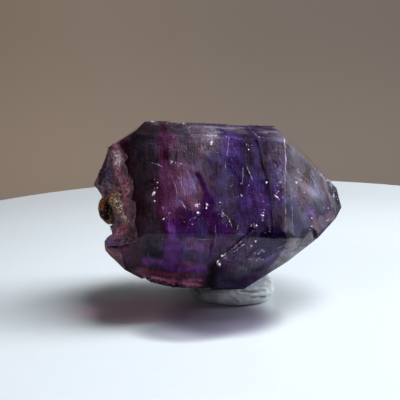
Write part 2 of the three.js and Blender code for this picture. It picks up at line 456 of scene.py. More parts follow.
def facePoint(along, degrees, inset=0.0):
    # the point of the form at a place along the axis and a way round it
    values = (np.asarray(value, float) for value in (along, degrees, inset))
    along, degrees, inset = np.broadcast_arrays(*values)
    starts = along[..., None] * np.array([1.0, 0.0, 0.0])
    ways = roundWay(degrees)
    return starts + ways * reachOf(starts, ways, inset, np.maximum(inset, 0.2))[..., None]


def rearTriangles():
    # corners of the solid's triangles that face the broken end, in mm
    crystalMesh.calc_loop_triangles()
    corners = readOut(crystalMesh.loop_triangles, "vertices", 3, int)
    triangles = toCrystal(readOut(crystalMesh.vertices, "co", 3))[corners]
    normals = np.cross(triangles[:, 1] - triangles[:, 0], triangles[:, 2] - triangles[:, 0])
    return triangles[normals[:, 0] < -0.05 * np.linalg.norm(normals, axis=1)]


def rearReach(starts, ways):
    # how far each ray goes before it leaves through a rear triangle:
    # start + far * way = a + u * (b - a) + v * (c - a)
    far = np.full(ways.shape[:-1], np.inf)
    for a, b, c in rearTriangles():
        across = np.cross(ways, c - a)
        scale = across @ (b - a)
        scale = np.where(np.abs(scale) < 1e-9, 1e-9, scale)
        away = starts - a
        up = np.cross(away, b - a)
        u, v = (away * across).sum(-1) / scale, (ways * up).sum(-1) / scale
        there = up @ (c - a) / scale
        hit = (u > -1e-6) & (v > -1e-6) & (u + v < 1 + 1e-6) & (there > 0)
        far = np.where(hit & (there < far), there, far)
    return far


# the veils: skins inside the crystal that carry its painted colours
veilForm = {
    "fan": -8.0,            # place of the fan's centre on the axis
    "fanLength": 16,        # mm of skin from the pole of the fan to its rim
    "girth": 72,            # mm of skin round the crystal
    "rear": -3.0,           # rays that start short of this are held in by the broken end too
    "wave": 0.025,          # greatest sinking of a point, as a part of its reach
    "warp": 0.5,            # mm that the painted bands wander
    "full": 0.9,            # opacity where the tint covers
}
veils = {
    "veil_outer": {"inset": 0.28, "endInset": 0.4, "step": 0.24, "bare": 0.15, "seed": 21},
    "veil_deep": {"inset": 1.7, "endInset": 2.2, "step": 0.28, "bare": 0.3, "seed": 33},
}


def innerSkin(inset, endInset, step, seed):
    # closed skin inside the solid: rays fan out from a point on the axis towards the broken end, then stand
    # square to the axis up to the tip; each point is the ray's start plus its reach, less a slow wave
    planes, outs = formNormals[:-1], formOuts[:-1] - inset
    tip, fan = (outs / planes[:, 0])[planes[:, 0] > 0.05].min(), veilForm["fan"]
    square = int((tip - fan) / step)
    tilt = np.linspace(0, math.pi / 2, int(veilForm["fanLength"] / step))[:-1]
    along = np.append(np.full(len(tilt), fan), np.linspace(fan, tip, square))
    tilt = np.append(tilt, np.full(square, math.pi / 2))[:, None, None]
    turns = np.linspace(0, 360, int(veilForm["girth"] / step), endpoint=False)
    ways = np.sin(tilt) * roundWay(turns) - np.cos(tilt) * np.array([1.0, 0.0, 0.0])
    starts = np.zeros_like(ways)
    starts[..., 0] = along[:, None]
    ahead = ways @ planes.T
    reach = np.where(ahead > 1e-6, (outs - starts @ planes.T) / np.maximum(ahead, 1e-6), np.inf).min(axis=-1)
    rear = along < veilForm["rear"]
    reach[rear] = np.minimum(reach[rear], rearReach(starts[rear], ways[rear]) - endInset)
    points = starts + ways * np.maximum(reach, 0.0)[..., None]
    sunk = 0.5 + 0.5 * roughNoise(points, 3.5, seed, 3)
    return points - (points - starts) * sunk[..., None] * veilForm["wave"]


def segmentDistance(points, start, end):
    # from each point to the nearest point of a straight line between start and end
    way = end - start
    share = np.clip((points - start) @ way / max(way @ way, 1e-9), 0, 1)
    return np.linalg.norm(points - start - share[..., None] * way, axis=-1)


def pathDistance(points, path):
    # the least of the distances to the path's straight parts
    if len(path) == 1:
        return np.linalg.norm(points - path[0], axis=-1)
    return np.min([segmentDistance(points, a, b) for a, b in zip(path[:-1], path[1:])], axis=0)


def smooth(value):
    # 3 v^2 - 2 v^3, from 0 to 1
    value = np.clip(value, 0, 1)
    return value * value * (3 - 2 * value)


palette = {
    "black": (0.0030, 0.0018, 0.0032),
    "soot": (0.019, 0.013, 0.0185),
    "smoke": (0.033, 0.026, 0.045),
    "slate": (0.044, 0.031, 0.068),
    "ash": (0.062, 0.049, 0.071),
    "haze": (0.115, 0.092, 0.112),
    "milk": (0.27, 0.24, 0.30),
    "grape": (0.026, 0.0045, 0.042),
    "plum": (0.070, 0.017, 0.096),
    "wine": (0.062, 0.017, 0.050),
    "mauve": (0.118, 0.055, 0.096),
    "indigo": (0.028, 0.015, 0.064),
    "violet": (0.056, 0.026, 0.118),
    "orchid": (0.150, 0.045, 0.235),
    "lilac": (0.110, 0.078, 0.155),
    "maroon": (0.027, 0.0035, 0.010),
    "rose": (0.17, 0.080, 0.105),
    "rust": (0.15, 0.028, 0.036),
    "tea": (0.080, 0.072, 0.074),
    "gold": (0.15, 0.080, 0.036),
    "mist": (0.098, 0.090, 0.102),
    "dusk": (0.085, 0.042, 0.105),
    "steel": (0.036, 0.035, 0.058),
    "blush": (0.165, 0.050, 0.076),
    "ink": (0.008, 0.003, 0.024),
    "ember": (0.60, 0.20, 0.31),
}

# what shows in the crystal on its front: a colour, how much it covers, its half width and soft edge in mm,
# and the places that it runs through, each along the axis and round it, or a point in the crystal's frame
frontBands = [
    # dark end of the prism
    ("soot", 0.97, 2.6, 0.4, [(-12.4, 112), (-12.4, 80), (-12.2, 56)]),
    ("black", 0.97, 1.2, 0.5, [(-13.8, 104), (-13.8, 80), (-13.5, 60)]),
    ("smoke", 0.75, 0.5, 0.4, [(-11.0, 104), (-10.9, 60)]),
    ("haze", 0.92, 0.8, 0.5, [(-10.7, 117), (-10.2, 108)]),
    ("soot", 0.85, 0.4, 0.5, [(-10.9, 60), (-10.8, 26)]),
    ("soot", 0.97, 2.2, 0.4, [(-12.3, 52), (-12.3, 32)]),
    ("soot", 0.96, 1.9, 0.5, [(-12.3, 26), (-12.2, 4)]),
    ("maroon", 0.60, 0.9, 0.6, [(-13.2, 24), (-12.8, 0)]),
    ("wine", 0.80, 0.5, 0.4, [(-15.0, 54), (-14.9, 30), (-14.5, 6)]),
    ("blush", 0.80, 0.45, 0.40, [(-14.7, 28), (-14.5, 14), (-14.7, 0)]),
    ("rust", 0.80, 0.3, 0.35, [(-15.3, 60), (-15.0, 47)]),
    ("maroon", 0.80, 0.4, 0.4, [(-13.1, 22), (-12.8, 2)]),
    ("mauve", 0.80, 0.3, 0.3, [(-14.2, 24), (-14.0, 16)]),
    ("smoke", 0.85, 0.16, 0.14, [(-12.6, 58.5), (-11.2, 58), (-9.8, 54)]),
    # wine coloured part and the haze over it
    ("wine", 0.97, 1.9, 0.4, [(-7.8, 46), (-7.8, 6)]),
    ("maroon", 0.80, 0.6, 0.4, [(-10.4, 30), (-10.4, 0)]),
    ("ash", 0.92, 1.9, 0.8, [(-6.8, 114), (-6.6, 84), (-5.8, 66)]),
    ("haze", 0.92, 1.9, 0.9, [(-3.0, 116), (-2.8, 84), (-2.4, 67)]),
    ("milk", 0.70, 0.9, 0.7, [(-3.6, 104), (-2.4, 86), (-1.2, 72)]),
    ("ash", 0.90, 1.5, 0.9, [(-7.4, 58), (-4.6, 52), (-2.6, 50)]),
    ("maroon", 0.97, 0.55, 0.25, [(-9.3, 114), (-9.3, 84), (-9.2, 57)]),
    ("rust", 0.40, 0.15, 0.2, [(-9.3, 84), (-9.2, 62)]),
    ("mauve", 0.60, 0.6, 0.5, [(-8.4, 46), (-8.3, 38)]),
    ("mauve", 0.50, 0.6, 0.5, [(-8.4, 24), (-7.8, 14)]),
    ("mauve", 0.95, 0.9, 0.6, [(-7.0, 52), (-6.4, 36), (-6.0, 22)]),
    ("lilac", 0.50, 0.3, 0.35, [(-6.5, 42), (-5.9, 24)]),
    ("lilac", 0.55, 0.25, 0.25, [(-7.3, 17), (-6.8, 11)]),
    ("mauve", 0.96, 0.85, 0.35, [(-4.9, 47), (-4.5, 30)]),
    ("lilac", 0.80, 0.55, 0.3, [(-4.9, 46), (-4.9, 22)]),
    ("grape", 0.98, 0.5, 0.2, [(-4.4, 43), (-3.4, 32), (-2.6, 20)]),
    ("grape", 0.97, 1.1, 0.4, [(-2.9, 20), (-3.6, 8)]),
    ("grape", 0.97, 1.3, 0.4, [(-8.6, 2), (-6.4, 4), (-2.0, 3)]),
    ("soot", 0.94, 0.9, 0.4, [(0.6, 8), (0.9, -8)]),
    ("wine", 0.90, 0.6, 0.5, [(-9.4, 8), (-7.0, 4)]),
    # violet middle
    ("slate", 0.95, 1.4, 0.6, [(-1.2, 55), (-0.5, 34), (-0.2, 16)]),
    ("violet", 0.45, 0.6, 0.5, [(-1.8, 30), (-1.0, 16)]),
    ("violet", 0.95, 1.3, 0.7, [(0.9, 102), (0.9, 72), (1.1, 58)]),
    ("indigo", 0.95, 0.9, 0.4, [(0.9, 55), (1.3, 44)]),
    ("indigo", 0.85, 0.6, 0.4, [(1.6, 58), (2.2, 48)]),
    ("violet", 0.95, 0.5, 0.4, [(1.9, 70), (1.8, 59)]),
    ("lilac", 0.60, 0.2, 0.25, [(0.55, 71), (0.6, 59)]),
    ("grape", 0.97, 0.3, 0.18, [(0.7, 54), (1.6, 46), (2.2, 38)]),
    ("haze", 0.90, 1.8, 0.6, [(1.8, 114), (2.8, 92)]),
    ("milk", 0.80, 0.8, 0.5, [(-1.0, 106), (-0.7, 80)]),
    ("soot", 0.94, 0.8, 0.4, [(3.9, 77), (3.9, 72), (4.0, 52)]),
    ("smoke", 0.93, 0.7, 0.4, [(3.6, 48), (3.2, 38)]),
    ("milk", 0.65, 0.7, 0.5, [(-1.3, 110), (0.8, 104), (4.2, 112)]),
    ("indigo", 0.92, 1.5, 0.6, [(2.4, 32), (2.2, 8)]),
    ("smoke", 0.94, 0.5, 0.3, [(0.6, 40), (1.2, 14), (0.9, 4)]),
    ("violet", 0.70, 0.5, 0.5, [(3.2, 28), (3.2, 16)]),
    ("violet", 0.92, 0.8, 0.4, [(4.5, 36), (4.9, 24)]),
    ("indigo", 0.95, 1.2, 0.5, [(5.9, 32), (6.1, 8)]),
    ("violet", 0.96, 0.7, 0.4, [(5.6, 30), (5.8, 5)]),
    ("grape", 0.90, 0.25, 0.2, [(4.2, 32), (4.4, 10)]),
    ("ash", 0.94, 1.5, 0.5, [(8.2, 110), (8.2, 84), (8.1, 56)]),
    ("milk", 0.50, 0.7, 0.5, [(7.2, 92), (9.2, 98), (9.6, 80)]),
    ("mist", 0.75, 0.6, 0.5, [(9.2, 78), (9.4, 62)]),
    ("slate", 0.90, 0.9, 0.4, [(7.8, 52), (7.8, 38)]),
    ("slate", 0.90, 1.0, 0.5, [(8.3, 34), (8.2, 4)]),
    ("lilac", 0.70, 0.4, 0.4, [(9.4, 60), (9.5, 16)]),
    ("violet", 0.75, 0.6, 0.5, [(8.0, 30), (8.2, 16)]),
    ("smoke", 0.93, 1.0, 0.4, [(8.3, 0), (8.5, -8)]),
    ("lilac", 0.60, 0.35, 0.3, [(9.0, 72), (9.0, 32)]),
    ("milk", 0.75, 0.15, 0.12, [(9.75, 79), (9.8, 40)]),
    ("lilac", 0.65, 0.12, 0.10, [(9.7, 40), (9.6, -8)]),
    # tip
    ("mist", 0.75, 1.6, 0.8, [(10.8, 66), (12.6, 50)]),
    ("tea", 0.60, 1.0, 0.8, [(13.0, 64), (14.4, 56)]),
    ("mist", 0.85, 1.5, 0.9, [(11.0, 32), (14.2, 30)]),
    ("lilac", 0.40, 1.2, 0.9, [(10.6, 22), (12.2, 20)]),
    ("milk", 0.55, 0.7, 0.6, [(12.4, 38), (15.0, 30), (16.8, 20)]),
    ("milk", 0.45, 0.5, 0.4, [(15.0, 70), (15.6, 46), (15.2, 28)]),
    ("mist", 0.90, 1.2, 0.8, [(16.4, 76), (16.8, 44), (16.8, 24)]),
    ("mist", 0.90, 1.4, 0.7, [(17.4, 110), (18.2, 76), (19.2, 30)]),
    ("milk", 0.50, 0.5, 0.5, [(17.8, 100), (18.6, 70)]),
    ("steel", 0.90, 1.5, 0.7, [(10.6, 12), (11.6, -8)]),
    ("steel", 0.88, 1.4, 0.6, [(16.2, 12), (18.4, 4)]),
    ("mist", 0.80, 0.8, 0.6, [(15.4, 22), (16.4, 12)]),
    ("lilac", 0.55, 1.0, 0.6, [(13.4, 10), (14.4, -2)]),
    ("steel", 0.80, 0.8, 0.6, [(12.6, -8), (15.2, -10)]),
    ("orchid", 0.55, 0.5, 0.4, [(13.8, 4), (14.6, 1)]),
    ("lilac", 0.80, 0.22, 0.25, [(14.0, 5), (14.7, 0)]),
    ("haze", 0.80, 1.0, 0.5, [(15.2, -12), (18.4, -12)]),
    ("ash", 0.00, 1.7, 0.2, [(12.8, -19), (14.0, -20)]),
    # lower front
    ("maroon", 0.96, 2.4, 0.8, [(-14.8, -8), (-14.2, -38)]),
    ("wine", 0.90, 1.6, 0.8, [(-17.6, -11.4, -4.8), (-16.2, -10.8, -6.0)]),
    ("blush", 0.85, 0.5, 0.4, [(-18.8, -11.8, -4.0), (-18.0, -11.4, -4.6)]),
    ("blush", 0.50, 0.3, 0.3, [(-17.6, -11.2, -5.0), (-16.4, -10.8, -6.2)]),
    ("black", 0.92, 0.9, 0.7, [(-13.5, -10), (-13.3, -32)]),
    ("black", 0.90, 1.5, 0.3, [(-11.2, -14), (-11.4, -34)]),
    ("soot", 0.96, 1.05, 0.25, [(-10.9, 0), (-10.9, -16)]),
    ("smoke", 0.80, 0.35, 0.3, [(-10.5, -8), (-10.4, -24)]),
    ("grape", 0.96, 1.6, 0.3, [(-8.4, -3), (-8.4, -44)]),
    ("plum", 0.97, 1.35, 0.3, [(-8.3, -16), (-8.3, -42)]),
    ("plum", 0.98, 0.6, 0.35, [(-8.8, -1), (-8.7, -14)]),
    ("orchid", 0.35, 0.4, 0.35, [(-8.8, -2), (-8.7, -10)]),
    ("grape", 0.97, 1.0, 0.3, [(-7.0, -4), (0.2, -5)]),
    ("plum", 0.60, 0.6, 0.3, [(-5.8, -2), (-5.2, -8)]),
    ("grape", 0.90, 1.0, 0.3, [(-6.6, -2), (-5.4, -9)]),
    ("indigo", 0.80, 0.9, 0.2, [(-3.8, -1), (-3.8, -8)]),
    ("dusk", 0.97, 1.6, 0.12, [(-5.6, -17), (-3.6, -20)]),
    ("mauve", 0.40, 0.6, 0.4, [(-6.4, -16), (-2.8, -17)]),
    ("lilac", 0.22, 1.1, 0.5, [(-5.2, -16), (-3.4, -17)]),
    ("lilac", 0.35, 0.12, 0.12, [(-6.4, -13.5), (-2.4, -13)]),
    ("slate", 0.96, 1.4, 0.3, [(-5.6, -30), (-3.6, -33)]),
    ("plum", 0.97, 0.8, 0.3, [(-12.2, -36), (-9.6, -38)]),
    ("orchid", 0.60, 0.4, 0.4, [(-11.4, -37), (-9.8, -38)]),
    ("plum", 0.95, 0.7, 0.3, [(-13.6, -38), (-12.2, -40)]),
    ("orchid", 0.97, 0.7, 0.3, [(-6.6, -46), (-3.2, -46)]),
    ("lilac", 0.70, 0.25, 0.3, [(-5.2, -46), (-3.4, -46)]),
    ("grape", 0.92, 0.14, 0.14, [(-6.8, -4), (-6.7, -40)]),
    ("violet", 0.60, 0.4, 0.4, [(-13.8, -38), (-13.0, -40)]),
    ("rust", 0.96, 0.5, 0.3, [(-14.6, -46), (-12.6, -48), (-9.4, -51), (-6.6, -53)]),
    ("ember", 0.80, 0.5, 0.3, [(-11.4, -56), (-6.6, -61), (-3.6, -63)]),
    ("ember", 0.75, 0.28, 0.25, [(-12.6, -55), (-9.4, -56.5), (-6.4, -58), (-3.2, -57.5)]),
    ("black", 0.92, 0.14, 0.10, [(-12.3, -8), (-12.4, -24), (-12.6, -44)]),
    ("dusk", 0.96, 1.1, 0.25, [(-1.3, -14), (0.6, -18)]),
    ("grape", 0.95, 0.25, 0.15, [(-2.1, -5), (-2.2, -42)]),
    ("slate", 0.94, 1.2, 0.3, [(-0.5, -24), (-1.0, -40)]),
    ("black", 0.93, 0.8, 0.5, [(-1.4, -46), (-1.3, -62)]),
    ("indigo", 0.92, 0.7, 0.4, [(4.9, 6), (4.6, -10)]),
    ("plum", 0.95, 0.35, 0.2, [(4.4, -2), (2.8, -8)]),
    # the plate beyond the crack
    ("slate", 0.95, 2.2, 0.3, [(4.6, -19), (3.2, -42)]),
    ("ink", 0.97, 2.4, 0.14, [(7.3, -14), (5.6, -36)]),
    ("mist", 0.50, 1.6, 0.7, [(4.4, -38), (2.2, -48)]),
    ("lilac", 0.30, 0.5, 0.6, [(5.2, -22), (4.4, -31)]),
    ("dusk", 0.60, 0.5, 0.4, [(0.6, -34), (1.2, -48)]),
    ("violet", 0.75, 0.25, 0.3, [(5.6, -37), (8.0, -28), (9.4, -22)]),
    ("orchid", 0.95, 0.10, 0.10, [(8.2, -18), (9.6, -13.5)]),
    ("black", 0.97, 0.35, 0.14, [(4.0, -3), (2.4, -12), (1.0, -22), (-0.4, -31), (-1.4, -44)]),
    # dark cracks through the prism
    ("black", 0.97, 0.15, 0.10, [(4.7, 110), (4.8, 82), (5.2, 70), (6.1, 52), (6.9, 34), (7.15, 20),
                                 (7.15, -8)]),
    ("black", 0.90, 0.10, 0.08, [(6.0, 10), (6.1, -6)]),
]


# colour and cover at places along the axis, under the bands
baseStops = [
    (-21, "grape", 0.9), (-17, "grape", 0.95), (-15, "maroon", 0.95), (-11, "soot", 0.95),
    (-9.5, "wine", 0.92), (-5, "mauve", 0.85), (-1, "slate", 0.88), (3, "indigo", 0.9),
    (7, "slate", 0.85), (9.5, "mist", 0.7), (14, "mist", 0.55), (17, "steel", 0.6), (21, "mist", 0.6),
]


def baseTint(points):
    # the stops blended along the axis from the break to the tip, moved to and fro by noise
    shift = 1.2 * roughNoise(points, 6.0, 5, 3)
    places = [stop[0] for stop in baseStops]
    table = np.array([(*palette[stop[1]], stop[2]) for stop in baseStops])
    return np.stack([np.interp(points[:, 0] + shift, places, table[:, k]) for k in range(4)], -1)


def paintBands(points, colours, bands, inset, warp):
    # each band lays its colour over the points near its path, as strongly as it covers; a band that covers
    # nothing clears them instead; a soft edge wanders more than a crisp one
    wander = np.stack([roughNoise(points, 2.2, 40 + axis, 3) for axis in range(3)], -1) * warp
    for colour, cover, width, edge, places in bands:
        places = np.array(places, float)
        path = places if places.shape[1] == 3 else facePoint(*places.T, inset)
        mask = smooth((width + edge - pathDistance(points + wander * min(edge / 0.5, 1), path)) / (2 * edge))
        covered = np.maximum(colours[:, 3], cover) if cover else 0.0
        colours[:, :3] += (np.array(palette[colour]) - colours[:, :3]) * (mask * cover)[:, None]
        colours[:, 3] += (covered - colours[:, 3]) * mask
    return colours


# middles along the axis and the colours found there, for the sides that face away
hiddenZones = [
    (-15, "maroon soot rose"), (-10, "wine soot grape"), (-5, "wine mauve ash grape"),
    (0, "violet smoke mauve"), (5, "violet smoke grape"), (9, "ash smoke milk"), (13, "tea mauve orchid"),
]


def hiddenBands(count, seed):
    # bands like those in front, at random places behind, above and below
    draw = np.random.default_rng(seed)
    bands = []
    for _ in range(count):
        middle, names = hiddenZones[draw.integers(len(hiddenZones))]
        colour = draw.choice(names.split())
        along = middle + draw.uniform(-2.5, 2.5)
        turn = draw.uniform(122, 296)
        lean = draw.uniform(-1.5, 1.5)
        span = draw.uniform(5, 30)
        width = draw.uniform(0.2, 1.6)
        path = [(along, turn), (along + lean, turn + span)]
        bands.append((colour, draw.uniform(0.6, 0.97), width, 0.3 + width * 0.5, path))
    return bands


def veilMaterial(name, bare):
    # cloudy tint: its shade comes from clouds, angular patches, fibres that run round the crystal or lean,
    # and thin bright ridges; its hue drifts between warm and cool
    g = Graph(name)
    place = g.crystalPlace()
    along, _, height = g.parts(place)
    cloud = g.noise(place, 0.42, 4.0, 0.55, 0.5)
    patches = g.cells(g.stretched(g.turned(g.bent(place, 0.7, 4.0), 0.3), (1.0, 0.5, 0.5)), 0.6, out="Color")
    patches = g.parts(patches)
    fibres = g.noise(g.stretched(place, (4.0, 0.28, 0.28)), 1.0, 4.0, 0.6, 0.4)
    slanted = g.noise(g.stretched(g.turned(place, 0.4), (2.4, 0.26, 0.26)), 1.0, 4.0, 0.6, 0.3)
    mottle = g.noise(place, 2.6, 3.0, 0.6)
    ridges = (g.noise(place, 0.6, 4.0, 0.55, 1.2) * 2.0 - 1.0).size().rise(0.0, 0.03, 1.0, 0.0)
    shade = cloud * 1.1 + patches[0] * 0.12 + fibres * 0.5 + slanted * 0.45 + mottle * 0.25
    shade = shade.rise(0.85, 1.6, 0.35, 1.85) + ridges * mottle * 0.7
    shade = shade + (1.15 - shade) * along.rise(8.5, 11, 0.0, 0.5)    # the tip is calmer
    shade = shade * height.rise(-4.4, -2.0, 2.9, 1.0)    # painted light: the lower faces show their colours more brightly
    shade = shade * height.rise(-9.0, -6.0, 0.62, 1.0)    # the underside gets less light
    shade = shade * height.rise(11.4, 12.2, 1.0, 0.6)    # the top face lies squarer to the light
    hue = g.mix(cloud.rise(0.35, 0.65), (1.14, 0.93, 0.90, 1), (0.90, 0.98, 1.10, 1))
    cover = g.painted("tint", "Alpha") + (cloud - 0.5) * 0.5 + (patches[2] - 0.5) * 0.1 + ridges * 0.1
    return g.finish({
        "Base Color": g.shaded(g.mix(1.0, g.painted("tint"), hue, "MULTIPLY"), shade),
        "Roughness": 0.5,
        "Specular IOR Level": 0.0,
        "Alpha": cover.rise(bare, veilForm["full"]),
        "Normal": g.bump(mottle + fibres + cloud, 0.0002),
    })


def buildVeil(name, inset, endInset, step, bare, seed, bands):
    # an inner skin painted with the base tint and then the bands
    points, faces = closedSkin(innerSkin(inset, endInset, step, seed))
    colours = paintBands(points, baseTint(points), bands, inset, veilForm["warp"])
    piece = newPiece(name, toWorld(points), faces, veilMaterial(name, bare))
    paintAttribute(piece, "tint", colours)
    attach(piece, "root")


# the clear shell, lengths in mm
crystalShell = {
    "ringPlaces": 46,       # fine growth lines round the prism
    "ringDepth": 0.0055,
    "ringSpan": (-12.2, 10.4),
    "edgeWear": 0.012,
    "wornAngle": 14,        # degrees between its faces, above which an edge is worn
    "merge": 2e-6,          # m between points taken as one
    "breakCuts": 3,
    "breakDepth": 0.16,
    "breakCell": 0.75,
    "breakSeeds": 2.2,      # seeds to a cell of the break
    "breakTilt": 0.5,
    "keen": (8, -3),        # edges in front stay sharp short of the first along it and below the second
}
# which faces of the solid belong to the break
breakRules = {
    "facing": 0.2,          # least part of a face's normal along the break's
    "deep": 6,              # mm behind the break's mean plane at most
    "inside": 0.02,         # mm within the grown planes at least
    "largest": 2.5,         # square mm
    "low": -4,              # height below which they may be larger
    "largestLow": 12.0,
}


def ringRipple():
    # growth lines: levels that step up and down along the axis, as places and heights joined by slopes
    draw = np.random.default_rng(3)
    low, high = crystalShell["ringSpan"]
    places = np.sort(draw.uniform(low, high, crystalShell["ringPlaces"]))
    pairs = np.stack([places, places + draw.uniform(0.05, 0.15, len(places))], -1).ravel()
    levels = np.repeat(draw.uniform(-1, 1, len(places)) * crystalShell["ringDepth"], 2)
    levels = np.append(0.0, levels[:-1])
    knots = np.concatenate([[low - 0.3], np.sort(pairs), [high + 0.3]])
    return knots, np.concatenate([[0.0], levels, [0.0]])


def hackle(points):
    # broken facets: each point takes the tilted plane of the seed nearest to it
    draw = np.random.default_rng(8)
    low, high = points.min(axis=0), points.max(axis=0)
    area = crystalShell["breakSeeds"] * (high[1] - low[1]) * (high[2] - low[2])
    count = int(area / crystalShell["breakCell"] ** 2)
    seeds = draw.uniform(low, high, (count, 3))
    tilts = draw.normal(0, crystalShell["breakTilt"], (count, 3))
    levels = draw.uniform(-0.6, 0.6, count)
    nearest = np.argmin(((points[:, None] - seeds) ** 2).sum(axis=-1), axis=1)
    height = levels[nearest] + ((points - seeds[nearest]) * tilts[nearest]).sum(axis=-1)
    return np.clip(height, -1, 1)


def crystalMaterial():
    # clear glass, rougher on the break; its bump is half the growth lines plus a little etching and pits
    g = Graph("quartz")
    place = g.crystalPlace()
    lines = g.noise(g.stretched(place, (4.0, 0.2, 0.2)), 1.0, 3.0, 0.6)
    etch = g.noise(place, 3.0, 4.0, 0.7)
    pits = g.cells(place, 1.6).rise(0.04, 0.16)
    frosted = g.painted("broken", "Fac")
    surface = {
        "Base Color": g.mix(etch, (0.90, 0.86, 0.93, 1), (0.97, 0.95, 0.98, 1)),
        "Specular Tint": (0.42, 0.38, 0.46, 1),
        "Roughness": etch.rise(0.45, 0.8, 0.015, 0.05) + frosted * 0.16,
        "IOR": 1.544,
        "Transmission Weight": 1.0,
        "Normal": g.bump(lines * 0.5 + etch * 0.15 + pits * 0.2, 0.000005),
    }
    return g.finish(surface, g.absorption((0.60, 0.56, 0.68), 55.0))


def isBroken(face):
    # a small face on the broken end, inside every plane that the crystal grew
    centre = toCrystal(face.calc_center_median())
    normal = np.array(face.normal) @ crystalAxes
    facing = normal @ formNormals[-1] > breakRules["facing"]
    near = centre @ formNormals[-1] > formOuts[-1] - breakRules["deep"]
    inside = (formOuts[:-1] - formNormals[:-1] @ centre).min() > breakRules["inside"]
    largest = breakRules["largestLow" if centre[2] < breakRules["low"] else "largest"]
    return facing and near and inside and face.calc_area() < largest * mm ** 2


def isWorn(edge):
    # every edge is worn but those of the break and the sharp ones low on the front
    middle = toCrystal((edge.verts[0].co + edge.verts[1].co) / 2)
    short, low = crystalShell["keen"]
    keen = middle[0] < short and middle[1] < 0 and middle[2] < low
    return not keen and not any(isBroken(face) for face in edge.link_faces)


def cutCrystal():
    # the crystal's solid, merged, worn, cut at every growth line, and its break divided finely;
    # the break's faces carry index 1
    bm = bmesh.new()
    bm.from_mesh(crystalMesh)
    bmesh.ops.remove_doubles(bm, verts=bm.verts, dist=crystalShell["merge"])
    bmesh.ops.dissolve_limit(bm, angle_limit=math.radians(0.3), verts=bm.verts, edges=bm.edges)
    sharp = math.radians(crystalShell["wornAngle"])
    worn = [edge for edge in bm.edges if edge.calc_face_angle(0) > sharp and isWorn(edge)]
    wear = crystalShell["edgeWear"] * mm
    bmesh.ops.bevel(bm, geom=worn, offset=wear, segments=1, affect="EDGES", clamp_overlap=True)
    bmesh.ops.remove_doubles(bm, verts=bm.verts, dist=crystalShell["merge"])
    axis = Vector(crystalAxes[:, 0])
    for knot in ringRipple()[0]:
        everything = bm.verts[:] + bm.edges[:] + bm.faces[:]
        middle = Vector(toWorld((knot, 0, 0)))
        bmesh.ops.bisect_plane(bm, geom=everything, dist=1e-7, plane_co=middle, plane_no=axis)
    for face in bm.faces:
        face.material_index = int(isBroken(face))
    bmesh.ops.triangulate(bm, faces=[face for face in bm.faces if face.material_index == 1])
    edges = [edge for edge in bm.edges if any(face.material_index for face in edge.link_faces)]
    bmesh.ops.subdivide_edges(bm, edges=edges, cuts=crystalShell["breakCuts"], use_grid_fill=True)
    bmesh.ops.triangulate(bm, faces=bm.faces)
    bmesh.ops.recalc_face_normals(bm, faces=bm.faces)
    mesh = bpy.data.meshes.new("crystal")
    bm.to_mesh(mesh)
    bm.free()
    return mesh


def sortedMesh(mesh):
    # points, normals, corners and kinds of face, sorted by place, because bmesh has no order of its own
    points = toCrystal(readOut(mesh.vertices, "co", 3))
    order = np.lexsort(np.round(points, 5).T)
    normals = readOut(mesh.vertices, "normal", 3) @ crystalAxes
    corners = np.argsort(order)[readOut(mesh.polygons, "vertices", 3, int)]
    kinds = readOut(mesh.polygons, "material_index", kind=int)
    turn = (corners.argmin(axis=1)[:, None] + np.arange(3)) % 3
    corners = np.take_along_axis(corners, turn, axis=1)
    faces = np.lexsort(corners.T)
    return points[order], normals[order], corners[faces], kinds[faces]


def buildCrystal():
    # the cut solid, moved along its normals by the hackle on the break, and outwards by the ripple everywhere
    points, normals, corners, kinds = sortedMesh(cutCrystal())
    whole = np.ones(len(points))
    whole[corners[kinds == 0].ravel()] = 0.0        # a corner of any grown face stays where it is
    points = points + normals * (hackle(points) * whole * crystalShell["breakDepth"])[:, None]
    radial = points * (0, 1, 1)
    points = points + unit(radial + 1e-9) * np.interp(points[:, 0], *ringRipple())[:, None]
    piece = newPiece("crystal", toWorld(points), corners, crystalMaterial(), smooth=False)
    broken = np.zeros(len(points))
    broken[corners[kinds == 1].ravel()] = 1.0
    paintAttribute(piece, "broken", broken)
    piece.visible_shadow = False
    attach(piece, "root")
    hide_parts("amethyst_crystal")
    print("crystal has", len(corners), "faces,", int((kinds == 1).sum()), "of them on the break")
    return points, normals, corners[kinds == 1]


# the frost on the break: lengths in mm
breakFrost = {
    "raised": 0.03,         # over the shell
    "ground": (0.046, 0.013, 0.025, 0.75),    # colour and cover where no band runs
    "warp": 0.6,
}
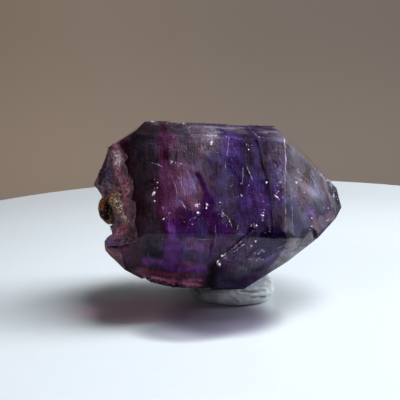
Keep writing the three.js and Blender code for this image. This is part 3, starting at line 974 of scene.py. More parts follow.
# what shows on it, as the front's bands, each place across and up it
breakBands = [
    ("maroon", 0.95, 1.7, 0.8, [(-3.6, 8.0), (-5.6, 5.6), (-7.2, 2.0), (-8.8, -1.0), (-9.6, -3.0)]),
    ("blush", 0.95, 1.25, 0.5, [(-0.8, 9.6), (-1.2, 8.4), (-1.8, 6.9)]),
    ("milk", 0.95, 0.35, 0.3, [(-1.1, 8.8), (-1.7, 7.2)]),
    ("blush", 0.70, 0.95, 0.5, [(-2.4, 5.7), (-3.8, 5.0), (-5.7, 4.4)]),
    ("blush", 0.70, 1.1, 0.6, [(-4.8, 3.7), (-5.8, 2.4), (-6.7, 1.5)]),
    ("gold", 0.85, 1.2, 0.5, [(-2.9, 1.6), (-4.2, 0.4), (-4.8, -0.7)]),
    ("wine", 0.92, 1.1, 0.7, [(-7.0, 0.8), (-7.8, -0.9)]),
    ("blush", 0.92, 0.75, 0.5, [(-5.4, -1.7), (-7.0, -2.2), (-8.7, -2.6)]),
    ("violet", 0.85, 0.8, 0.6, [(-7.4, -3.4), (-9.4, -4.4)]),
    ("blush", 0.80, 0.4, 0.4, [(-9.8, -4.7), (-10.6, -5.1)]),
    ("maroon", 0.97, 2.2, 0.6, [(-10.4, -6.0), (-8.4, -7.6)]),
    ("blush", 0.92, 0.55, 0.45, [(-7.8, -5.0), (-8.8, -5.7)]),
    ("blush", 0.60, 0.25, 0.25, [(-9.2, -6.2), (-10.4, -5.6)]),
    ("lilac", 0.85, 0.18, 0.2, [(0.9, 3.4), (0.5, 3.9), (-0.3, 3.7), (-0.6, 3.1)]),
    ("indigo", 0.80, 0.9, 0.9, [(0.8, 5.6), (0.6, 4.6)]),
    ("lilac", 0.85, 0.3, 0.3, [(1.8, 7.8), (1.5, 7.0)]),
]


def frostMaterial():
    # pale grains on a darker ground, both from the tint, with painted glints where the tint is pale
    g = Graph("frosted_break")
    place = g.crystalPlace()
    tint = g.painted("tint")
    pale = g.parts(tint)[1].rise(0.03, 0.08)
    bent = g.bent(place, 1.2, 3.0)
    clumps = g.noise(place, 0.9, 4.0, 0.6, 0.6)
    grain = g.noise(bent, 4.6, 4.0, 0.75)
    chips = g.parts(g.cells(bent, 3.0, out="Color"))[0]
    # painted glints: near-white cells where the tint is pale
    paintedSparkles = g.parts(g.cells(bent, 4.2, out="Color"))[0].rise(0.80, 0.87) * (pale * 0.8 + 0.12)
    shade = (clumps * 0.9 + grain * 1.4 + chips * 0.4).rise(1.0, 1.7, 0.08, 3.0)
    colour = g.mix(paintedSparkles, g.shaded(tint, shade), (0.95, 0.86, 0.9, 1))
    cover = g.painted("tint", "Alpha") + (clumps - 0.5) * 0.8
    return g.finish({
        "Base Color": colour,
        "Emission Color": colour,
        "Emission Strength": 0.25,    # painted glow for daylight that has come through the crystal
        "Roughness": 0.3,
        "Alpha": cover.rise(0.25, 0.8),
        "Normal": g.bump(grain + chips * 0.4, 0.0004),
    })


def buildFrost(points, normals, corners):
    # the break's own skin again, a little over it
    used, index = np.unique(corners, return_inverse=True)
    over = points[used] + normals[used] * breakFrost["raised"]
    colours = np.tile(breakFrost["ground"], (len(used), 1))
    bands = [(*band[:4], [(0, *place) for place in band[4]]) for band in breakBands]
    colours = paintBands(over * (0, 1, 1), colours, bands, 0, breakFrost["warp"])
    piece = newPiece("break_frost", toWorld(over), index.reshape(-1, 3), frostMaterial(), smooth=False)
    paintAttribute(piece, "tint", colours)
    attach(piece, "root")
    return over, normals[used], colours


# a chip's measures, as parts of its size
chipForm = {
    "radii": (0.35, 1.5),
    "long": 1.9,
    "thick": 0.25,
    "skew": 0.4,            # radians at most
}


def chipMesh(centres, sizes, draw):
    # each chip is flat: two points either side of a rim of five, turned at random
    total, around = len(centres), np.arange(5)
    first = unit(draw.normal(0, 1, (total, 3)))
    second = unit(np.cross(first, draw.normal(0, 1, (total, 3))))
    third = np.cross(first, second)
    skew = chipForm["skew"]
    angles = np.linspace(0, 2 * math.pi, 6)[:-1] + draw.uniform(-skew, skew, (total, 5))
    radii = sizes[:, None] * draw.uniform(*chipForm["radii"], (total, 5))
    rim = np.cos(angles)[..., None] * second[:, None] * chipForm["long"]
    rim = rim + np.sin(angles)[..., None] * third[:, None]
    thick = (sizes * chipForm["thick"])[:, None] * first
    chips = [thick[:, None], -thick[:, None], radii[..., None] * rim]
    chips = np.concatenate(chips, axis=1) + centres[:, None]
    upper = np.stack([np.zeros(5, int), 2 + around, 2 + (around + 1) % 5], -1)
    lower = np.stack([np.ones(5, int), 2 + (around + 1) % 5, 2 + around], -1)
    faces = np.concatenate([upper, lower])[None] + 7 * np.arange(total)[:, None, None]
    return toWorld(chips.reshape(-1, 3)), faces.reshape(-1, 3)


crumbs = {
    "count": 1500,
    "size": 0.055,          # mm
    "stray": 0.08,          # mm from the frost's points
    "lift": 0.05,           # mm at most over it
    "vary": 0.5,            # spread of the sizes' logarithms
    "tone": (0.15, 0.75),   # mean and spread of the brightness's logarithm
    "brightest": 0.85,
}


def crumbMaterial():
    # the colour under the crumb times a mottle from 0.5 to 1.6, with a little painted glow
    g = Graph("crumbs")
    tone = g.noise(g.place(), 2.2, 3.0, 0.7)
    colour = g.shaded(g.painted("tint"), tone.rise(0.3, 0.7, 0.5, 1.6))
    glow = {"Emission Color": colour, "Emission Strength": 0.2}
    return g.finish({"Base Color": colour, "Roughness": 0.25, **glow})


def buildCrumbs(points, normals, colours):
    # loose grains on the break, most where it is pale, each with the colour under it, paler or darker
    draw = np.random.default_rng(8)
    pale = np.clip(colours[:, 1] - 0.008, 0.002, None)
    count = crumbs["count"]
    chosen = draw.choice(len(points), count, p=pale / pale.sum())
    centres = points[chosen] + draw.normal(0, crumbs["stray"], (count, 3))
    centres = centres + normals[chosen] * draw.uniform(0, crumbs["lift"], (count, 1))
    sizes = crumbs["size"] * np.exp(draw.normal(0, crumbs["vary"], count))
    piece = newPiece("crumbs", *chipMesh(centres, sizes, draw), crumbMaterial(), smooth=False)
    tints = colours[chosen, :3] * np.exp(draw.normal(*crumbs["tone"], (count, 1)))
    tints = np.hstack([np.clip(tints, 0, crumbs["brightest"]), np.ones((count, 1))])
    paintAttribute(piece, "tint", np.repeat(tints, 7, axis=0))
    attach(piece, "root")


def zoneMaterial(name, colour, density):
    # a colour zone only absorbs: nothing shows at its skin
    g = Graph(name)
    clear = g.node("ShaderNodeBsdfTransparent", {}, {"Color": (1, 1, 1, 1)})
    g.node("ShaderNodeOutputMaterial", {}, {"Surface": clear, "Volume": g.absorption(colour, density)})
    return g.material


# colour zones that fill part of the crystal between two places along it, and a core that takes most light
colourZones = {
    "zone_smoky": {"span": (-13.6, -9.5), "inset": 1.0, "colour": (0.42, 0.16, 0.16), "density": 260},
    "zone_wine": {"span": (-9.0, -1.2), "inset": 1.4, "colour": (0.62, 0.20, 0.48), "density": 190},
    "zone_violet": {"span": (-0.6, 7.2), "inset": 1.2, "colour": (0.42, 0.22, 0.86), "density": 240},
    "zone_grey": {"span": (7.4, 11.0), "inset": 1.6, "colour": (0.52, 0.48, 0.60), "density": 90},
    "zone_core": {"span": (-13.2, 9.5), "inset": 3.4, "colour": (0.30, 0.14, 0.36), "density": 260},
}
zoneForm = {
    "rings": 40,
    "turns": 96,
    "pinch": 3.2,           # steepness with which both ends close
    "lean": 0.25,           # mm along the axis for each mm that a point lies nearer to it
    "leanRadius": 4,        # than this
    "wander": 0.5,          # mm along the axis
}


def buildZone(name, span, inset, colour, density):
    # rings between the two places: the reach at each way, pinched shut at both ends, leaning with the tip
    share = np.linspace(0, 1, zoneForm["rings"])
    turns = np.linspace(0, 360, zoneForm["turns"], endpoint=False)
    ways = np.broadcast_to(roundWay(turns), (len(share), len(turns), 3))
    starts = np.zeros(ways.shape)
    starts[..., 0] = (span[0] + (span[1] - span[0]) * share)[:, None]
    bulge = np.sin(np.pi * share)[:, None]
    reach = reachOf(starts, ways, inset, inset) * np.minimum(1, zoneForm["pinch"] * bulge)
    points = starts + ways * reach[..., None]
    lean = zoneForm["lean"] * (zoneForm["leanRadius"] - np.linalg.norm(points[..., 1:], axis=-1)) * bulge
    points[..., 0] += lean + zoneForm["wander"] * roughNoise(points, 4.0, 9, 3)
    flat, faces = closedSkin(points)
    piece = newPiece(name, toWorld(flat), faces, zoneMaterial(name, colour, density))
    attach(piece, "root")


def glintMaterial():
    # mottled from violet to white, with a painted glow that stands in for the window light that the flecks
    # throw back
    g = Graph("glint")
    tone = g.noise(g.place(), 2.2, 2.0, 0.6)
    colour = g.mix(tone.rise(0.42, 0.6), (0.30, 0.20, 0.34, 1), (1.0, 0.97, 1.0, 1))
    glow = {"Emission Color": colour, "Emission Strength": 0.35}
    return g.finish({"Base Color": colour, "Roughness": 0.22, **glow})


fleckForm = {
    "depths": (0.6, 1.5),   # as parts of a cluster's depth
    "size": 0.6,            # part of the sizes below that is drawn
    "vary": 0.45,           # spread of the sizes' logarithms
}
# clusters of bright flecks: places along and round, spread of each, depth, count and size in mm
frontFlecks = [
    # upper front
    (-8.5, 53.4, 0.12, 0.9, 0.10, 5, 0.17),
    (-7.2, 52.0, 0.25, 1.2, 0.10, 6, 0.11),
    (-1.4, 71.4, 0.10, 0.6, 0.10, 4, 0.13),
    (-3.3, 69.0, 0.12, 0.8, 0.10, 4, 0.10),
    (-2.2, 66.2, 0.10, 0.7, 0.10, 4, 0.11),
    (-7.5, 64.0, 0.5, 5.0, 0.20, 24, 0.045),
    (-4.0, 66.0, 2.2, 6.0, 0.20, 60, 0.04),
    (-11.6, 34.0, 0.7, 5.0, 0.15, 24, 0.05),
    (-11.3, 23.3, 0.08, 1.4, 0.12, 7, 0.16),
    (-12.6, 17.8, 0.15, 1.5, 0.12, 7, 0.10),
    (-11.9, 20.0, 0.6, 2.5, 0.25, 14, 0.06),
    (-9.9, 11.7, 0.08, 1.2, 0.12, 4, 0.09),
    (-9.6, 3.6, 0.4, 2.0, 0.20, 18, 0.07),
    (-4.6, 13.3, 0.15, 1.0, 0.12, 8, 0.18),
    (-3.2, 13.3, 0.06, 1.2, 0.12, 5, 0.15),
    (-0.9, 14.4, 0.25, 1.4, 0.15, 10, 0.10),
    (-1.0, 8.0, 0.3, 2.0, 0.20, 10, 0.07),
    (-4.3, 7.2, 0.10, 0.6, 0.15, 4, 0.13),
    (-4.6, 4.0, 0.4, 1.4, 0.15, 12, 0.08),
    (-4.7, 9.0, 0.8, 3.0, 0.30, 24, 0.05),
    (0.4, 1.0, 0.25, 3.0, 0.12, 10, 0.08),
    (1.5, -3.2, 0.10, 1.0, 0.12, 4, 0.09),
    # violet middle
    (1.0, 31.0, 0.12, 0.8, 0.12, 3, 0.10),
    (2.7, 33.8, 0.08, 0.6, 0.12, 3, 0.11),
    (3.7, 31.7, 0.15, 0.6, 0.12, 4, 0.09),
    (2.2, 22.0, 0.4, 1.4, 0.20, 8, 0.08),
    (1.4, 58.0, 0.3, 2.0, 0.20, 6, 0.06),
    (4.1, 62.0, 0.6, 3.0, 0.20, 9, 0.07),
    (4.0, 20.0, 2.2, 11.0, 0.25, 60, 0.04),
    (5.7, 4.6, 0.2, 2.2, 0.15, 12, 0.09),
    (4.2, -1.8, 0.2, 1.2, 0.12, 8, 0.11),
    (6.7, -4.4, 0.05, 0.9, 0.10, 4, 0.11),
    (6.5, 34.5, 0.10, 0.6, 0.12, 4, 0.11),
    (8.0, 21.8, 0.12, 0.6, 0.12, 5, 0.15),
    (8.3, 21.0, 0.4, 1.6, 0.20, 10, 0.06),
    (8.6, 34.0, 0.5, 3.0, 0.20, 30, 0.06),
    (8.8, 54.0, 0.6, 12.0, 0.20, 50, 0.045),
    (7.6, 88.0, 0.15, 2.0, 0.10, 6, 0.16),
    # tip
    (10.8, 25.0, 0.5, 3.0, 0.25, 26, 0.06),
    (11.9, 49.0, 0.12, 0.8, 0.12, 4, 0.14),
    (11.6, 36.9, 0.10, 0.6, 0.12, 4, 0.13),
    (12.5, 34.5, 0.15, 0.7, 0.12, 5, 0.17),
    (12.4, 30.0, 0.8, 4.0, 0.30, 34, 0.045),
    (14.3, 1.0, 0.3, 2.0, 0.20, 8, 0.07),
    (13.9, -10.3, 0.15, 1.0, 0.10, 4, 0.13),
    (17.6, -10.7, 0.12, 1.0, 0.10, 5, 0.13),
    (18.0, 6.0, 0.8, 8.0, 0.15, 14, 0.07),
    (17.4, 94.0, 0.4, 7.0, 0.06, 16, 0.09),
    (18.6, 112.0, 0.4, 8.0, 0.06, 20, 0.11),
    (19.6, 131.0, 0.3, 8.0, 0.05, 20, 0.14),
    (20.3, 150.0, 0.2, 10.0, 0.05, 14, 0.12),
    # top face, glints along its far edge
    (-5.2, 117.0, 3.2, 3.0, 0.05, 90, 0.08),
    (-5.0, 102.0, 3.5, 7.0, 0.10, 60, 0.05),
    (2.6, 116.0, 0.8, 3.0, 0.05, 14, 0.08),
    # crack and plate
    (2.6, -15.8, 0.12, 1.2, 0.10, 6, 0.11),
    (1.9, -20.0, 0.15, 1.2, 0.10, 8, 0.15),
    (0.9, -22.6, 0.35, 1.0, 0.10, 9, 0.08),
    (-0.1, -30.4, 0.22, 2.0, 0.10, 18, 0.16),
    (-0.7, -36.1, 0.15, 1.6, 0.10, 12, 0.14),
    (1.0, -27.0, 1.0, 4.0, 0.25, 22, 0.055),
    (4.5, -12.5, 0.05, 0.8, 0.10, 3, 0.12),
    (3.9, -16.9, 0.12, 1.0, 0.15, 7, 0.11),
    (4.8, -26.4, 0.2, 1.5, 0.15, 9, 0.11),
    (6.0, -22.5, 0.12, 1.4, 0.15, 7, 0.11),
    (4.2, -32.1, 0.3, 1.5, 0.20, 9, 0.09),
    (5.7, -32.1, 0.4, 1.0, 0.15, 16, 0.12),
    (3.4, -41.9, 0.3, 1.0, 0.20, 9, 0.10),
    (4.8, -24.0, 1.0, 4.0, 0.30, 34, 0.05),
    # lower left
    (-12.9, -8.3, 0.10, 0.9, 0.10, 6, 0.15),
    (-12.2, -14.0, 0.6, 4.0, 0.30, 10, 0.06),
    (-6.6, -6.0, 1.8, 5.0, 0.30, 18, 0.05),
    (-12.4, -48.0, 1.4, 3.0, 0.15, 16, 0.06),
    (-7.6, -60.0, 3.0, 4.0, 0.15, 24, 0.06),
]


def hiddenFlecks(count, seed):
    # clusters like those in front, at random places behind, above and below
    draw = np.random.default_rng(seed)
    reals, amounts = draw.uniform, draw.integers
    columns = [(reals, -14, 16), (reals, 100, 292), (reals, 0.4, 2.2), (reals, 2, 11), (reals, 0.3, 1.2),
               (amounts, 6, 30), (reals, 0.05, 0.1)]
    return [[pick(low, high) for pick, low, high in columns] for _ in range(count)]


def buildFlecks(name, clusters, seed):
    # chips strewn about each cluster's middle, most of them near it
    draw = np.random.default_rng(seed)
    counts = [cluster[5] for cluster in clusters]
    columns = [np.repeat(column, counts) for column in zip(*clusters)]
    along, turn, spreadAlong, spreadTurn, depth, _, size = columns
    total = len(along)
    deep = depth * draw.uniform(*fleckForm["depths"], total)
    along = along + spreadAlong * draw.normal(0, 1, total)
    turn = turn + spreadTurn * draw.normal(0, 1, total)
    sizes = fleckForm["size"] * size * np.exp(draw.normal(0, fleckForm["vary"], total))
    chips = chipMesh(facePoint(along, turn, deep), sizes, draw)
    piece = newPiece(name, *chips, glintMaterial(), smooth=False)
    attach(piece, "root")
    print(name, "has", total, "chips")


hairForm = {
    "rings": 26,            # along each hair
    "waver": (0.03, 0.25),  # mm along and degrees round
    "thin": 0.4,            # thickness over width
    "width": 0.65,          # part of the widths below that is drawn
}
# hair cracks and scratches just under the faces: half width in mm, depth, and places along and round
paleHairs = [
    (0.045, 0.15, [(0.8, 72), (0.65, 64), (0.3, 57)]),
    (0.035, 0.20, [(0.1, 54), (0.05, 47)]),
    (0.055, 0.15, [(3.3, 51), (4.0, 42), (4.35, 36)]),
    (0.040, 0.20, [(2.9, 50), (2.8, 42), (2.7, 34)]),
    (0.060, 0.08, [(-3.0, 111), (-2.1, 78), (-1.4, 71.4)]),
    (0.050, 0.08, [(-2.3, 98), (-0.8, 90), (0.5, 84)]),
    (0.055, 0.08, [(-4.5, 73), (-3.0, 73.4), (-1.4, 72)]),
    (0.040, 0.08, [(-6.4, 88), (-5.0, 82), (-3.6, 80)]),
    (0.050, 0.10, [(9.62, 72), (9.75, 58), (9.6, 42), (9.4, 18), (9.3, -7)]),
    (0.130, 0.12, [(9.75, 74), (9.85, 58), (9.65, 44)]),
    (0.040, 0.10, [(10.5, 30), (10.45, 18), (10.4, -8)]),
    (0.100, 0.20, [(10.9, 42), (12.2, 42.4), (13.3, 41.6)]),
    (0.055, 0.15, [(14.2, 57), (15.2, 46), (16.1, 34), (16.9, 18.5), (17.0, 5)]),
    (0.030, 0.30, [(12.8, 46), (13.8, 36), (15.2, 22)]),
    (0.030, 0.30, [(11.4, 50), (13.0, 48), (15.0, 44)]),
    (0.055, 0.10, [(8.1, -20.5), (8.9, -17.5), (9.8, -13.5)]),
    (0.040, 0.20, [(-6.4, -11.5), (-4.0, -11.7), (-1.8, -11.6)]),
    (0.030, 0.20, [(-1.85, -1), (-1.75, -11), (-1.65, -21)]),
    (0.090, 0.20, [(-7.2, 18), (-6.8, 14), (-6.3, 10)]),
    (0.050, 0.15, [(-1.3, 6.7), (0.1, 4.7), (0.6, -0.5), (0.8, -3.5)]),
    (0.070, 0.10, [(2.7, -15), (1.9, -20.5), (0.6, -26), (-0.2, -31), (-0.8, -37)]),
    (0.035, 0.20, [(-6.2, 46), (-5.2, 36), (-4.8, 24)]),
    (0.035, 0.20, [(-7.6, 42), (-6.8, 30), (-6.4, 20)]),
    (0.030, 0.20, [(-8.4, 40), (-7.8, 28), (-7.8, 18)]),
    (0.035, 0.20, [(-12.1, 53), (-10.6, 50.5), (-9.9, 48)]),
    (0.030, 0.15, [(-12.8, -10), (-12.3, -20), (-12.1, -34)]),
]
darkHairs = [
    (0.100, 0.10, [(1.6, 118), (0.9, 92), (0.55, 73)]),
    (0.130, 0.16, [(6.0, 112), (5.6, 79), (5.9, 62), (6.2, 51), (6.8, 41), (7.2, 31), (7.3, 18), (7.2, 6),
                   (6.9, -4.5)]),
    (0.140, 0.14, [(4.3, -5), (2.9, -9.7), (1.7, -20), (-0.2, -31), (-0.9, -37), (-1.8, -49), (-1.9, -61)]),
    (0.130, 0.16, [(-4.3, 45.5), (-3.4, 38), (-2.6, 29), (-1.6, 19)]),
    (0.120, 0.16, [(0.4, 52), (1.4, 48), (2.2, 40)]),
    (0.060, 0.16, [(3.5, 51), (4.2, 42), (4.6, 37)]),
    (0.060, 0.16, [(5.9, 10), (6.0, 2), (6.0, -6)]),
    (0.060, 0.16, [(-1.95, -1), (-1.9, -11), (-1.8, -21), (-1.9, -40)]),
    (0.080, 0.16, [(-11.8, 44), (-12.3, 38), (-12.2, 28)]),
    (0.090, 0.16, [(-9.7, 46), (-9.9, 38), (-9.6, 28), (-10.0, 18)]),
]


def smoothPath(points, count):
    # a smooth line through the points, evenly stepped between them: each part is the cubic with the right
    # places and slopes at its two ends
    points = np.asarray(points, float)
    steps = np.linspace(0, len(points) - 1, count)
    before = np.vstack([2 * points[0] - points[1], points[:-1]])
    beyond = np.vstack([points[1:], 2 * points[-1] - points[-2]])
    slope = (beyond - before) / 2
    low = np.minimum(steps.astype(int), len(points) - 2)
    part = (steps - low)[:, None]
    square, cube = part ** 2, part ** 3
    return ((2 * cube - 3 * square + 1) * points[low] + (cube - 2 * square + part) * slope[low] +
            (3 * square - 2 * cube) * points[low + 1] + (cube - square) * slope[low + 1])


def hairRings(width, depth, places, seed):
    # a flat four-sided profile carried along the line, wavering and tapering to nothing at both ends
    draw = np.random.default_rng(seed)
    count = hairForm["rings"]
    line = smoothPath(places, count)
    line[1:-1] += draw.normal(0, 1, (count - 2, 2)) * hairForm["waver"]
    points = facePoint(*line.T, depth)
    way = unit(np.gradient(points, axis=0))
    out = unit(points * (0, 1, 1))
    side = unit(np.cross(way, out))
    taper = np.sqrt(np.sin(np.linspace(0, math.pi, count)))[:, None] * draw.uniform(0.4, 1.3, (count, 1))
    ring = [side, out * hairForm["thin"], -side, -out * hairForm["thin"]]
    return np.stack([points + hairForm["width"] * width * taper * part for part in ring], axis=1)


def hairMaterial(name, first, second):
    # mottled between two colours, and see-through where the mottle is darkest
    g = Graph(name)
    tone = g.noise(g.place(), 1.4, 3.0, 0.7)
    return g.finish({
        "Base Color": g.mix(tone.rise(0.4, 0.6), (*first, 1), (*second, 1)),
        "Roughness": 0.3,
        "Alpha": tone.rise(0.28, 0.48, 0.15, 0.95),
    })


def buildHairs(name, hairs, material):
    # every hair's closed skin in one mesh
    skins = [closedSkin(hairRings(*hair, number)) for number, hair in enumerate(hairs)]
    firsts = np.cumsum([0] + [len(points) for points, _ in skins])
    faces = [[corner + first for corner in face] for first, (_, skin) in zip(firsts, skins) for face in skin]
    piece = newPiece(name, toWorld(np.vstack([points for points, _ in skins])), faces, material)
    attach(piece, "root")


breakPoints, breakNormals, breakCorners = buildCrystal()
buildCrumbs(*buildFrost(breakPoints, breakNormals, breakCorners))
for zone, values in colourZones.items():
    buildZone(zone, **values)
print("colour zones ready")
bands = hiddenBands(count=60, seed=12) + frontBands
for veil, values in veils.items():
    buildVeil(veil, **values, bands=bands)
print("veils ready")
buildFlecks("flecks", frontFlecks + hiddenFlecks(count=34, seed=5), seed=14)
buildHairs("pale_cracks", paleHairs, hairMaterial("pale_crack", (0.24, 0.19, 0.31), (0.66, 0.60, 0.74)))
buildHairs("dark_cracks", darkHairs, hairMaterial("dark_crack", (0.002, 0.001, 0.003), (0.012, 0.004, 0.02)))

# matrix left on the break: an ochre lump with a dark hollow and a speckled side, sizes as parts of the radius
crustForm = {
    "bigger": 0.12,         # mm past the solid's box
    "turns": 220,
    "rings": 150,
    "radius": 0.94,
    "lump": 0.11,
    "grit": 0.05,
    "bend": 0.10,           # of the paths of the hollow and the bands
    "hollowDepth": 0.42,
    "hollow": [(-0.20, -0.84, 0.52), (-0.34, -0.86, 0.05), (-0.30, -0.84, -0.50)],
    "hollowWidth": 0.17,
}
crustColours = {
    "beige": (0.378, 0.168, 0.128),
    "ochre": (0.273, 0.092, 0.021),
    "brown": (0.063, 0.018, 0.011),
    "dark": (0.013, 0.004, 0.004),
    "gold": (0.210, 0.100, 0.062),
    "pink": (0.231, 0.088, 0.114),
}
# a colour, half width and soft edge as parts of the radius, and directions from the lump's middle
crustBands = [
    ("gold", 0.55, 0.3, [(0.5, -0.85, 0.3), (0.5, -0.85, -0.3)]),
    ("pink", 0.25, 0.2, [(0.15, -0.9, 0.75), (-0.2, -0.8, 0.8)]),
    ("ochre", 0.22, 0.12, [(-0.72, -0.5, 0.45), (-0.5, -0.75, 0.62)]),
    ("ochre", 0.25, 0.2, [(-0.8, 0.5, 0.2), (-0.5, 0.8, 0.4)]),
    ("brown", 0.25, 0.15, [(-0.62, -0.72, -0.05), (-0.5, -0.8, -0.5)]),
    ("brown", 0.3, 0.16, [(-0.10, -0.90, 0.45), (-0.22, -0.95, -0.45)]),
    ("dark", 0.17, 0.10, crustForm["hollow"]),
    ("dark", 0.08, 0.06, [(0.10, -0.95, 0.25), (0.05, -0.98, 0.05)]),
]


def crustMaterial():
    # its painted colour times grain and beads, with pale specks that are painted glints
    g = Graph("matrix_crust")
    place = g.place()
    grain = g.noise(place, 3.4, 6.0, 0.8)
    beads = g.cells(place, 2.6)
    # painted glints: pale specks over the grit
    paintedGritGlints = g.parts(g.cells(place, 3.6, out="Color"))[0].rise(0.84, 0.93)
    shade = (grain + (0.5 - beads) * 0.35).rise(0.28, 0.75, 0.35, 1.9)
    return g.finish({
        "Base Color": g.mix(paintedGritGlints * 0.75, g.shaded(g.painted("tint"), shade), (0.62, 0.50, 0.36, 1)),
        "Roughness": grain.rise(0.4, 0.6, 0.55, 0.9),
        "Specular IOR Level": 0.35,
        "Normal": g.bump(grain * 1.2 - beads * 0.5, 0.0005),
    })


def ballWays(rings, turns):
    # directions over a ball, in rings along +X that turn from -Y over +Z: (-cos s, -sin s cos t, sin s sin t)
    slope = np.linspace(0, math.pi, rings)[:, None]
    turn = np.linspace(0, 2 * math.pi, turns, endpoint=False)
    x = -np.cos(slope) + 0 * turn
    return np.stack([x, -np.sin(slope) * np.cos(turn), np.sin(slope) * np.sin(turn)], -1)


def buildCrust():
    # a ball of half the solid's box, swollen by lumps and grit and pushed in along the hollow's path
    low, high = (np.array(corner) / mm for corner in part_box("matrix_remnant"))
    ways = ballWays(crustForm["rings"], crustForm["turns"])
    bend = np.stack([roughNoise(ways, 0.35, 70 + axis, 3) for axis in range(3)], -1)
    bent = unit(ways + crustForm["bend"] * bend)
    near = pathDistance(bent, unit(np.array(crustForm["hollow"])))
    dent = crustForm["hollowDepth"] * np.exp(-(near / crustForm["hollowWidth"]) ** 2)
    swell = crustForm["radius"] + crustForm["lump"] * roughNoise(ways, 0.75, 61, 3)
    swell = swell + crustForm["grit"] * roughNoise(ways, 0.16, 64, 3)
    radii = (high - low) / 2 + crustForm["bigger"]
    points = (low + high) / 2 + ways * radii * (swell - dent)[..., None]
    colours = np.broadcast_to((*crustColours["beige"], 1.0), (*ways.shape[:2], 4))
    for colour, width, edge, path in crustBands:
        mask = smooth((width + edge - pathDistance(bent, unit(np.array(path)))) / (2 * edge))[..., None]
        colours = colours + (np.array([*crustColours[colour], 1.0]) - colours) * mask
    piece = newPiece("matrix_crust", *closedSkin(points * mm), crustMaterial())
    paintAttribute(piece, "tint", flatten(colours))
    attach(piece, "root")
    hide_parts("matrix_remnant")


# the dab, in mm but for the profile, which goes from the middle of its base round the rim to the top
puttyForm = {
    "turns": 260,
    "rings": 150,
    "profile": [(0.0, 0.0), (0.40, 0.0), (0.78, 0.0), (0.92, 0.04), (1.0, 0.20), (1.02, 0.38), (0.97, 0.60),
                (0.84, 0.80), (0.62, 0.92), (0.34, 0.98), (0.0, 1.0)],
    "gap": 0.06,            # under the crystal
    "lump": 0.22,
    "fine": 0.05,
    "warp": 0.15,           # of the folds' paths
    "lip": 0.4,             # height of a fold's raised side, as a part of its depth
    "lipAway": 2.2,         # and its distance in half widths
    "soft": 0.5,            # height by which the lumps and folds come in
}
# folds: depth and half width in mm, and places from the dab's middle in parts of its half widths and height
puttyFolds = [
    (0.34, 0.22, [(-0.22, -0.98, 0.70), (-0.06, -0.98, 0.45), (0.10, -0.98, 0.22), (0.14, -0.96, 0.02)]),
    (0.26, 0.20, [(0.16, -0.94, 0.62), (0.40, -0.90, 0.55), (0.72, -0.70, 0.50)]),
    (0.22, 0.25, [(-0.60, -0.80, 0.55), (-0.45, -0.90, 0.42), (-0.30, -0.95, 0.50)]),
    (0.20, 0.20, [(0.45, -0.92, 0.30), (0.75, -0.72, 0.25)]),
    (0.25, 0.30, [(-0.95, -0.2, 0.5), (-0.8, -0.6, 0.35)]),
    (0.25, 0.25, [(-0.5, 0.9, 0.6), (-0.2, 1.0, 0.4), (0.3, 0.98, 0.5)]),
    (0.3, 0.3, [(0.95, 0.1, 0.6), (0.85, 0.55, 0.3)]),
]


def puttyMaterial():
    # pale grey clouds and smears, darker where it is grimy, with painted shade to the left and in the folds
    # and painted light to the right
    g = Graph("grey_putty")
    place = g.place()
    cloud = g.noise(place, 0.35, 4.0, 0.6, 0.5)
    smear = g.noise(g.stretched(place, (0.6, 0.6, 1.8)), 1.0, 5.0, 0.65, 0.8)
    grime = g.noise(place, 1.3, 5.0, 0.75).rise(0.55, 0.75)
    fine = g.noise(place, 6.0, 4.0, 0.7)
    colour = g.mix(cloud.rise(0.35, 0.65), (0.50, 0.54, 0.59, 1), (0.84, 0.88, 0.91, 1))
    colour = g.mix(smear.rise(0.45, 0.65, 0.0, 0.7), colour, (0.90, 0.93, 0.95, 1))
    # painted shade to the left, where the crystal shadows the dab, and painted light to the right
    colour = g.shaded(colour, g.parts(place)[0].rise(-3, 7, 0.62, 1.08))
    colour = g.mix(grime * 0.4, colour, (0.14, 0.14, 0.19, 1))
    # painted shade in the folds
    colour = g.mix(g.painted("foldShade", "Fac") * 0.75, colour, (0.10, 0.11, 0.15, 1))
    return g.finish({
        "Base Color": colour,
        "Roughness": smear.rise(0.3, 0.7, 0.38, 0.62),
        "Specular IOR Level": 0.4,
        "Normal": g.bump(fine * 0.25 + smear, 0.0005),
    })


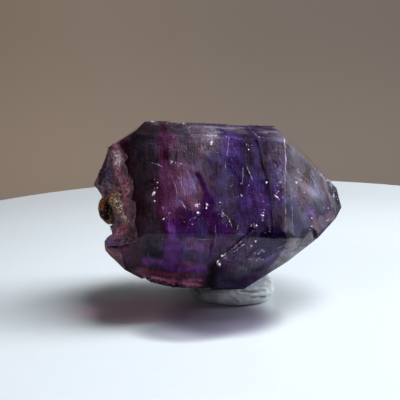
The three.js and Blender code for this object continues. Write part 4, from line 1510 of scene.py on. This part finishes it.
def puttyRings(low, high):
    # point = middle + half width * r(s) * lobes(t) * (-cos t, sin t), height z(s) tilted along x and y
    profile = smoothPath(puttyForm["profile"], puttyForm["rings"])
    turn = np.linspace(0, 2 * math.pi, puttyForm["turns"], endpoint=False)
    lobes = 0.97 + 0.04 * np.sin(2 * turn + 0.7) + 0.02 * np.sin(3 * turn + 2)
    radius = np.maximum(profile[:, :1], 0) * lobes
    x, y = -radius * np.cos(turn), radius * np.sin(turn)
    z = np.clip(profile[:, 1:], 0, 1) * (0.93 + 0.10 * x - 0.05 * y)
    middle, half = (low + high) / 2, (high - low) / 2
    return np.stack([middle[0] + half[0] * x, middle[1] + half[1] * y, low[2] + 2 * half[2] * z], -1)


def pressUnderCrystal(points, gap):
    # every point inside the crystal's form, with a gap round it, goes straight down until it is out, and none
    # goes as low as the table
    down = crystalAxes.T @ np.array([0.0, 0.0, -1.0])
    local = toCrystal(points * mm)
    room = formOuts + gap - local @ formNormals.T
    ahead = formNormals @ down
    leave = np.where(ahead > 1e-6, room / np.maximum(ahead, 1e-6), np.inf).min(axis=-1)
    fall = np.where(room.min(axis=-1) > 0, leave, 0.0)
    points = points.copy()
    points[..., 2] = np.maximum(points[..., 2] - fall, 0.05)
    return points


def buildPutty():
    # the dab's rings, moved outwards by lumps and in by folds that have a raised side, then pressed down
    low, high = (np.array(corner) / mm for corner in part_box("putty_dab"))
    points = puttyRings(low, high)
    middle, half = (low + high) / 2, (high - low) / 2
    share = np.clip(points[..., 2] / puttyForm["soft"], 0, 1)[..., None]
    out = unit((points - middle) / half ** 2)
    lumps = puttyForm["lump"] * roughNoise(points, 2.6, 81, 3)
    lumps = lumps + puttyForm["fine"] * roughNoise(points, 0.5, 84, 2)
    warped = points + puttyForm["warp"] * roughNoise(points, 1.0, 90, 2)[..., None]
    # how deep in a fold each point lies, for the painted shade there
    foldShade = np.zeros(points.shape[:2])
    for depth, width, path in puttyFolds:
        places = np.array(path) * (*half[:2], 2 * half[2]) + (*middle[:2], low[2])
        near = pathDistance(warped, smoothPath(places, 12))
        groove = np.exp(-(near / width) ** 2)
        lip = np.exp(-((near - puttyForm["lipAway"] * width) / width) ** 2)
        lumps = lumps - depth * groove + puttyForm["lip"] * depth * lip
        foldShade = np.maximum(foldShade, groove)
    points = pressUnderCrystal(points + out * lumps[..., None] * share, puttyForm["gap"])
    piece = newPiece("putty", *closedSkin(points * mm), puttyMaterial())
    paintAttribute(piece, "foldShade", flatten(foldShade))
    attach(piece, "root")
    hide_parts("putty_dab")


buildCrust()
buildPutty()
print("matrix crust and putty ready")
